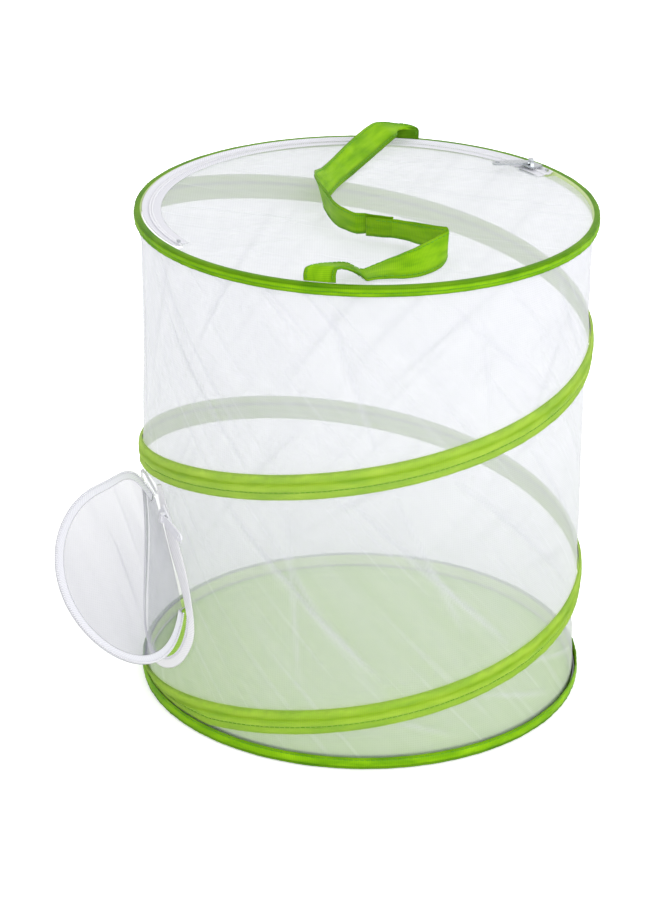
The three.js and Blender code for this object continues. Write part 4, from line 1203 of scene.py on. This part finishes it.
def lid_zip_part(name, body, inner, outer, start, end):
    """A tape between two radii, and the teeth on its edge nearer the gap. The rim's tape turns up over the
    ring's inner edge, where it is sewn down. name is the start of both pieces' and both nodes' names."""
    azimuth = np.linspace(start, end, max(FEWEST_ROWS, round((end - start) * ROWS_PER_DEGREE)))
    out = np.repeat(UP[None], len(azimuth), 0)
    if outer > inner_edge:
        line = np.array(RIM_LINE) * MM + (0, HEIGHT)
        tape = swept_tape(f"{name}_woven", line, RIM_TAPE_THICKNESS, azimuth, zip_tape)
    else:
        tape = ribbon(f"{name}_woven", polar(inner, azimuth, LID_TAPE_HEIGHT),
                      polar(outer, azimuth, LID_TAPE_HEIGHT), out, LID_TAPE_THICKNESS, zip_tape)
    finish_piece(tape, f"{name}_tape", body)
    side = 1 if inner > ZIP_RADIUS else -1
    edge = ZIP_RADIUS + side * ZIP_TEETH / 2
    teeth = coil(f"{name}_coil", polar(edge, azimuth, LID_TEETH_FOOT), polar(-side, azimuth, 0), out)
    finish_piece(teeth, f"{name}_teeth", body)


outer_edge = ZIP_RADIUS + ZIP_GAP
inner_edge = ZIP_RADIUS - ZIP_GAP
lid_zip_part("lid_rim", "top_ring", outer_edge, PANEL_RADIUS, ZIP_START, ZIP_END)
lid_zip_part("lid_flap", "lid_flap", inner_edge - ZIP_TAPE, inner_edge, FOLD_START + 1, ZIP_END - 1)
lid_zip_part("lid_end", "top_ring", inner_edge - ZIP_TAPE, inner_edge, ZIP_START, FOLD_START)
print("lid zip in mm:", round(math.radians(ZIP_END - ZIP_START) * ZIP_RADIUS / MM))

# %% [markdown]
# ## Door
#
# The flap was cut from the wall along the zip and folds on the sewn line. It hangs open, turned outwards by
# 123 degrees. So its net is laid out on the wall first, and then turned about the hinge of the model. The
# net bellies, because nothing holds its middle.

# %% Door flap
door_swing = next(joint for joint in frame["joints"] if joint["name"] == "door_swing")
hinge_place = Vector(door_swing["pos_m"])
door_turn = Matrix.Rotation(-math.radians(door_swing["range_deg"][1]), 3, Vector(door_swing["axis"]))
ZIP_END_MARGIN = 3
DOOR_STEPS = 120
FLAP_COLUMNS = 40
FLAP_WAVE = 1.1 * MM
FLAP_BELLY = 2.2 * MM
CORNER_HEIGHT = 8 * MM
CORNER_ANGLE = 92
CORNER_SPREAD = 15
flap_angles = np.linspace(FOLD_TOP_ANGLE + ZIP_END_MARGIN, FULL_TURN + FOLD_BOTTOM_ANGLE - ZIP_END_MARGIN,
                          DOOR_STEPS)
FLAP_CREASES = [
    (-30, 120, 30, 90, 1.2, 5), (-48, 90, 10, 60, 1.2, 5), (-20, 150, 10, 120, 1, 5), (-40, 60, 20, 40, 1, 4),
    (0, 140, 40, 70, 0.9, 5),
]


def flap_corner(angle):
    """How far the flap's edge stands out from the oval: a bell curve that makes a corner near its top."""
    return CORNER_HEIGHT * bell(angle, CORNER_ANGLE, CORNER_SPREAD)


def opened(points):
    """Points of the closed door, turned with the flap to its open place."""
    hinge = np.array(hinge_place)
    return (points - hinge) @ np.array(door_turn).T + hinge


def flap_net():
    """Net between the fold and the zip, laid out on the wall with its belly and creases, then opened."""
    share = np.linspace(0, 1, FLAP_COLUMNS)[:, None]
    near = fold_line(np.linspace(0, 1, DOOR_STEPS), FOLD_GAP)
    far = oval_line(flap_angles, flap_corner(flap_angles) - DOOR_HALF_GAP)
    places = near[:, None] + share * (far - near)[:, None]
    inside = np.sin(math.pi * share[:, 0]) * np.sin(math.pi * np.linspace(0, 1, DOOR_STEPS))[:, None] ** 0.6
    dent = flat_dent(places, FLAP_CREASES, FLAP_WAVE) * inside - FLAP_BELLY * inside
    points = opened(on_wall(NET_MIDDLE + dent, places))
    rows, columns = grid_faces(DOOR_STEPS, FLAP_COLUMNS)
    faces = rows * FLAP_COLUMNS + columns
    flat = places.reshape(-1, 2)
    return mesh_object("door_flap_cloth", points.reshape(-1, 3), faces, door_mesh, flat[faces])


door_flap = finish_piece(flap_net(), "door_flap_net", "door_flap", folds=True)

# %% [markdown]
# The door's zip has one row on the flap and one on the wall, and a third tape covers the sewn fold. All
# three lie on the outside. The wall's tape gets narrow at the top, where the spiral leaves it no room. The
# tape on the fold is wider, and bends smoothly into the wall's, so both are cut from one curved band.

# %% Door zip
DOOR_TAPE_RADIUS = NET_OUTER + 0.6 * MM
DOOR_TEETH_RADIUS = NET_OUTER + 1.2 * MM
FRAME_TAPE = 8 * MM
FRAME_TAPE_TOP = 1.4 * MM
DOOR_TAPE_THICKNESS = 0.6 * MM
FOLD_TAPE_THICKNESS = 0.7 * MM


def frame_tape_width(angle):
    """Width of the wall's zip tape, which falls as the sine of the angle rises to the oval's top."""
    return FRAME_TAPE + (FRAME_TAPE_TOP - FRAME_TAPE) * np.maximum(0, np.sin(np.radians(angle)))


def out_of_wall(places):
    """The direction straight out of the wall at each place."""
    return on_wall(1, places) * (1, 1, 0)


# The band's points on the fold: how far down it, how far out of the door in mm, and how wide as a multiple
# of the wall's tape. Its other points are at angles round the oval.
BAND_SHARES = [-0.12, 0.2, 0.5, 0.75]
BAND_SHIFTS = [0.1, 0.1, 0.4, 1.8]
BAND_WIDTHS = [1.1, 1.6, 1.75, 1.35]
BAND_ANGLES = [342, 326, 310, 290, 270, 240, 210, 180, 150, 120, 100, 85, 71.0]
BAND_STEPS = 260
# The two tapes meet a little past the middle between the fourth and fifth points, and overlap there
BAND_JOIN_SHARE = 3.55 / (len(BAND_SHARES) + len(BAND_ANGLES) - 1)
BAND_OVERLAP = 0.02


def band_line(offset):
    """The smooth line of both tapes at an offset out of the door: down the fold, and on round the oval."""
    outward = np.array(BAND_SHIFTS) * MM + offset * np.array(BAND_WIDTHS)
    on_fold = fold_line(np.array(BAND_SHARES), 0) - fold_inward * outward[:, None]
    angles = np.array(BAND_ANGLES)
    width = offset * frame_tape_width(angles) / FRAME_TAPE
    return np.concatenate([on_fold, oval_line(angles, frame_swell(angles) + DOOR_HALF_GAP + width)])


band_share = np.linspace(0, 1, BAND_STEPS)
band_near = through(band_line(0), band_share)
band_far = through(band_line(FRAME_TAPE), band_share)
for name, part, thickness in (
        ("door_fold", band_share <= BAND_JOIN_SHARE, FOLD_TAPE_THICKNESS),
        ("door_frame", band_share >= BAND_JOIN_SHARE - BAND_OVERLAP, DOOR_TAPE_THICKNESS)):
    near, far = band_near[part], band_far[part]
    tape = ribbon(f"{name}_woven", on_wall(DOOR_TAPE_RADIUS, near), on_wall(DOOR_TAPE_RADIUS, far),
                  out_of_wall(near), thickness, door_tape)
    finish_piece(tape, f"{name}_tape", "base", folds=True)

swell = frame_swell(flap_angles)
teeth_near = oval_line(flap_angles, swell + DOOR_HALF_GAP)
teeth_far = oval_line(flap_angles, swell + DOOR_HALF_GAP + ZIP_TEETH)
teeth_line = on_wall(DOOR_TEETH_RADIUS, (teeth_near + teeth_far) / 2)
frame_teeth = coil("door_frame_coil", teeth_line, on_wall(1, teeth_near) - on_wall(1, teeth_far),
                   out_of_wall(teeth_near))
finish_piece(frame_teeth, "door_frame_teeth", "base", folds=True)

corner = flap_corner(flap_angles)
flap_near = oval_line(flap_angles, corner - DOOR_HALF_GAP - ZIP_TAPE)
flap_far = oval_line(flap_angles, corner - DOOR_HALF_GAP)
turned_out = out_of_wall(flap_near) @ np.array(door_turn).T
flap_tape = ribbon("door_flap_woven", opened(on_wall(DOOR_TAPE_RADIUS, flap_near)),
                   opened(on_wall(DOOR_TAPE_RADIUS, flap_far)), turned_out, DOOR_TAPE_THICKNESS, painted_shade_tape)
finish_piece(flap_tape, "door_flap_tape", "door_flap", folds=True)

teeth_near = oval_line(flap_angles, corner - DOOR_HALF_GAP - ZIP_TEETH)
across_teeth = opened(on_wall(1, flap_far)) - opened(on_wall(1, teeth_near))
flap_teeth = coil("door_flap_coil", opened(on_wall(DOOR_TEETH_RADIUS, (teeth_near + flap_far) / 2)),
                  across_teeth, turned_out)
finish_piece(flap_teeth, "door_flap_teeth", "door_flap", folds=True)
print("teeth on the door:", (len(frame_teeth.data.polygons) + len(flap_teeth.data.polygons)) // BAR_FACES)

# %% [markdown]
# ## Carrying strap
#
# The strap is a tape folded double and sewn along both edges. It is longer than the lid is wide, so it
# stands on edge and winds over the lid, and it twists down to lie against the ring at both ends. Its two
# edges follow the same points as the model's; each is a share of the cage's radius across the lid and of
# the strap's width above its foot.

# %% Strap
STRAP_WIDTH = 20.3 * MM
STRAP_THICKNESS = 1.6 * MM
STRAP_FOOT = HEIGHT - 1.7 * MM
STRAP_END_SHARE = 0.04
STRAP_JOIN = 0.487
STRAP_LAP = 0.028
STRAP_ROWS = 420
STRAP_COLUMNS = 25
STRAP_PUCKER_PITCHES = (41 * MM, 23 * MM, 12 * MM)
STRAP_PUCKER_SIZE = 0.1 * MM
STRAP_SEAM_INSET = 0.1
STRAP_SEAM_DEPTH = 0.46
# The strap's seams begin and end this many rows from its ends
STRAP_SEAM_ROWS_OFF = 8
MOST_SHADE = 0.8
STRAP_LOW = [
    [-0.129, -0.965, 0.09], [-0.129, -0.964, 0.38], [-0.121, -0.96, 0.52], [-0.096, -0.954, 0.54],
    [-0.06, -0.941, 0.42], [-0.033, -0.926, 0.24], [-0.004, -0.909, 0.05], [0.048, -0.894, 0.02],
    [0.122, -0.888, 0.02], [0.192, -0.866, 0.02], [0.254, -0.807, 0.02], [0.291, -0.748, 0.02],
    [0.313, -0.676, 0.02], [0.312, -0.583, 0.02], [0.229, -0.489, 0.02], [0.12, -0.406, 0.02],
    [-0.01, -0.371, 0.02], [-0.069, -0.332, 0.02], [-0.119, -0.266, 0.02], [-0.147, -0.199, 0.02],
    [-0.169, -0.103, 0.02], [-0.181, -0.01, 0.02], [-0.168, 0.093, 0.02], [-0.127, 0.243, 0.02],
    [-0.073, 0.385, 0.04], [-0.02, 0.511, 0.09], [0.038, 0.638, 0.18], [0.089, 0.741, 0.28],
    [0.115, 0.784, 0.35], [0.132, 0.805, 0.42], [0.141, 0.837, 0.43], [0.125, 0.89, 0.46],
    [0.116, 0.957, 0.37], [0.1136, 0.967, 0.09],
]
STRAP_HIGH = [
    [-0.262, -0.938, 0.09], [-0.262, -0.937, 0.33], [-0.254, -0.932, 0.49], [-0.215, -0.915, 0.53],
    [-0.16, -0.88, 0.48], [-0.094, -0.831, 0.36], [-0.026, -0.79, 0.05], [0.046, -0.763, 0.21],
    [0.119, -0.769, 0.46], [0.178, -0.767, 0.67], [0.227, -0.725, 0.73], [0.275, -0.68, 0.78],
    [0.321, -0.638, 0.83], [0.308, -0.609, 0.87], [0.235, -0.552, 0.9], [0.12, -0.481, 0.85],
    [-0.012, -0.442, 0.86], [-0.082, -0.389, 0.92], [-0.127, -0.32, 0.93], [-0.152, -0.249, 0.95],
    [-0.18, -0.14, 0.98], [-0.208, -0.032, 0.98], [-0.229, 0.129, 0.86], [-0.2, 0.337, 0.47],
    [-0.152, 0.473, 0.5], [-0.101, 0.59, 0.62], [-0.051, 0.706, 0.71], [-0.002, 0.811, 0.78],
    [0.034, 0.871, 0.81], [0.081, 0.919, 0.76], [0.143, 0.968, 0.59], [0.203, 0.964, 0.51],
    [0.243, 0.944, 0.39], [0.2465, 0.9385, 0.09],
]


def strap_edges(share, lift):
    """Both edge lines and the direction out of the strap, kept above the lid and at the strap's width."""
    to_metres = np.array([RADIUS, RADIUS, STRAP_WIDTH])
    low, high = (through(np.array(table) * to_metres + (0, 0, STRAP_FOOT), share)
                 for table in (STRAP_LOW, STRAP_HIGH))
    reach = high - low
    length = np.linalg.norm(reach, axis=1, keepdims=True)
    shrink = reach * (length - STRAP_WIDTH) / (2 * length)
    low, high = low + shrink, high - shrink
    out = unit(np.cross(np.gradient(low + high, axis=0), reach))
    low, high = low + out * lift[:, None], high + out * lift[:, None]
    over_lid = (share > STRAP_END_SHARE) & (share < 1 - STRAP_END_SHARE)
    floor = np.where(over_lid, STRAP_FOOT, HEIGHT + CLEARANCE)
    lowest = np.minimum(low[:, 2], high[:, 2]) - STRAP_THICKNESS / 2 * np.abs(out[:, 2])
    short = np.maximum(0, floor - lowest)[:, None] * UP
    return low + short, high + short, out


def strap_length(name, node, start, end, lift_at):
    """One length of strap: sewn in near both edges, with small puckers along them. It has painted shade along
    its edges, in a bend near the front, in the lap and where it is sewn to the back of the ring."""
    share = np.linspace(start, end, STRAP_ROWS)
    low, high, out = strap_edges(share, lift_at(share))
    across = np.linspace(0, 1, STRAP_COLUMNS)[None, :]
    run = distances((low + high) / 2)[:, None]
    generator = np.random.default_rng(7)
    waves = 0
    for pitch in STRAP_PUCKER_PITCHES:
        phase, drift = generator.uniform(0, 6), generator.uniform(-2, 2)
        waves = waves + np.sin(run / pitch * 2 * math.pi + phase + across * drift)
    relief = waves * STRAP_PUCKER_SIZE * (0.4 + 0.6 * np.abs(2 * across - 1))
    place = share[:, None]
    # Painted shade along both edges, in the bend near the front, at the back end and in the lap
    back_run = smooth_step(place, 0.68, 0.74)
    painted_shade = (0.35 * bell(across, 1, 0.06) + (0.3 + 0.3 * back_run) * smooth_step(across, 0.24, 0.1)
             + 0.4 * bell(place, 0.148, 0.03) + 0.7 * smooth_step(place, 0.945, 0.965)
             + 0.18 * (place > STRAP_JOIN - STRAP_LAP) * (place < STRAP_JOIN))
    piece = ribbon(name, low, high, out, STRAP_THICKNESS, strap_tape, STRAP_COLUMNS, relief,
                   np.clip(painted_shade, 0, MOST_SHADE))
    finish_piece(piece, node, "top_ring")
    sewn = slice(STRAP_SEAM_ROWS_OFF, -STRAP_SEAM_ROWS_OFF)
    for edge, inset in (("low", STRAP_SEAM_INSET), ("high", 1 - STRAP_SEAM_INSET)):
        for side in (-1, 1):
            line = low + inset * (high - low) + out * side * STRAP_THICKNESS * STRAP_SEAM_DEPTH
            face = "out" if side > 0 else "in"
            stitches = seam(f"{name}_stitches_{edge}_{face}", line[sewn], out[sewn] * side)
            finish_piece(stitches, None, "top_ring")


def lap_lift(share):
    """The back length starts a thickness and a gap out, over the front length's end, and settles after the
    lap."""
    settled = np.clip((share - STRAP_JOIN) / (STRAP_LAP / 2), 0, 1)
    return (STRAP_THICKNESS + CLEARANCE) * (1 - settled)


strap_length("strap_front_webbing", "strap_front", 0, STRAP_JOIN - STRAP_LAP / 10, np.zeros_like)
strap_length("strap_back_webbing", "strap_back", STRAP_JOIN - STRAP_LAP, 1, lap_lift)
print("strap width in mm:", round(STRAP_WIDTH / MM, 1))

# %% [markdown]
# ## Hard pieces
#
# The hoops, their crimp sleeves, the sliders, the pulls and the zip stops are hard, so the model's own
# shapes stay and only get their material.

# %% Materials of the hard pieces
HARD_PIECES = {
    "base_hoop_wire": spring_steel, "base_hoop_sleeve": spring_steel, "top_hoop_wire": spring_steel,
    "top_hoop_sleeve": spring_steel, "lid_slider": nickel, "lid_pull": nickel, "lid_stop_closed": nickel,
    "lid_stop_open": nickel, "door_slider": zip_nylon, "door_pull": zip_nylon,
}
for node, material in HARD_PIECES.items():
    data = frame["nodes"][node].data
    data.materials.clear()
    data.materials.append(material)
print("hard pieces:", len(HARD_PIECES))

# %% [markdown]
# ## Light and ground
#
# The photograph was lit on a white sweep: a large soft lamp from the front right, and white all round. The
# ground is white to the camera and keeps a faint shadow. It takes its light as a pale grey card does.

# %% Ground
GROUND_SIZE = 16
GROUND_DROP = 0.5 * MM
# The glow grows from the first distance from the middle to the second, in metres, and from the first
# strength to the second
GLOW_FROM, GLOW_TO = 0.15, 0.4
GLOW_LEAST, GLOW_MOST = 0.45, 1
ground_material, ground_shader = new_material("white sweep")
place = add_node(ground_material, "ShaderNodeTexCoord")
distance = add_node(ground_material, "ShaderNodeVectorMath", {"operation": "LENGTH"},
                    {"Vector": place.outputs["Object"]})
glow = add_node(ground_material, "ShaderNodeMapRange",
                {"From Min": GLOW_FROM, "From Max": GLOW_TO, "To Min": GLOW_LEAST, "To Max": GLOW_MOST},
                {"Value": distance.outputs["Value"]})
seen = add_node(ground_material, "ShaderNodeLightPath")
strength = add_node(ground_material, "ShaderNodeMath", {"operation": "MULTIPLY"},
                    {0: glow.outputs["Result"], 1: seen.outputs["Is Camera Ray"]})
ground_material.node_tree.links.new(strength.outputs["Value"], ground_shader.inputs["Emission Strength"])
ground_shader.inputs["Emission Color"].default_value = (1, 1, 1, 1)
ground_shader.inputs["Base Color"].default_value = linear("#EEEEEE")
ground_shader.inputs["Roughness"].default_value = 0.9
ground_shader.inputs["Specular IOR Level"].default_value = 0
corners = np.array([(-1, -1, 0), (1, -1, 0), (1, 1, 0), (-1, 1, 0)]) * GROUND_SIZE / 2
ground = mesh_object("white_ground", corners - (0, 0, GROUND_DROP), np.array([(0, 1, 2, 3)]), ground_material)
print("ground is", GROUND_SIZE, "m wide")

# %% Lamps
ROOM_STRENGTH = 0.91
KEY_PLACE = (0.9, -1.3, 1.15)
KEY_TARGET = (0, 0, 0.1)
KEY_SIZE = 1.3
KEY_WATTS = 13

world = bpy.data.worlds.new("white room")
world.use_nodes = True
bpy.context.scene.world = world
world.node_tree.nodes["Background"].inputs["Color"].default_value = (1, 1, 1, 1)
world.node_tree.nodes["Background"].inputs["Strength"].default_value = ROOM_STRENGTH


lamp_data = bpy.data.lights.new("key_lamp", "AREA")
lamp_data.size = KEY_SIZE
lamp_data.energy = KEY_WATTS
lamp = bpy.data.objects.new("key_lamp", lamp_data)
turned = (Vector(KEY_TARGET) - Vector(KEY_PLACE)).to_track_quat("-Z", "Y").to_matrix().to_4x4()
lamp.matrix_world = Matrix.Translation(Vector(KEY_PLACE)) @ turned
bpy.context.scene.collection.objects.link(lamp)
print("key lamp in watts:", lamp_data.energy)
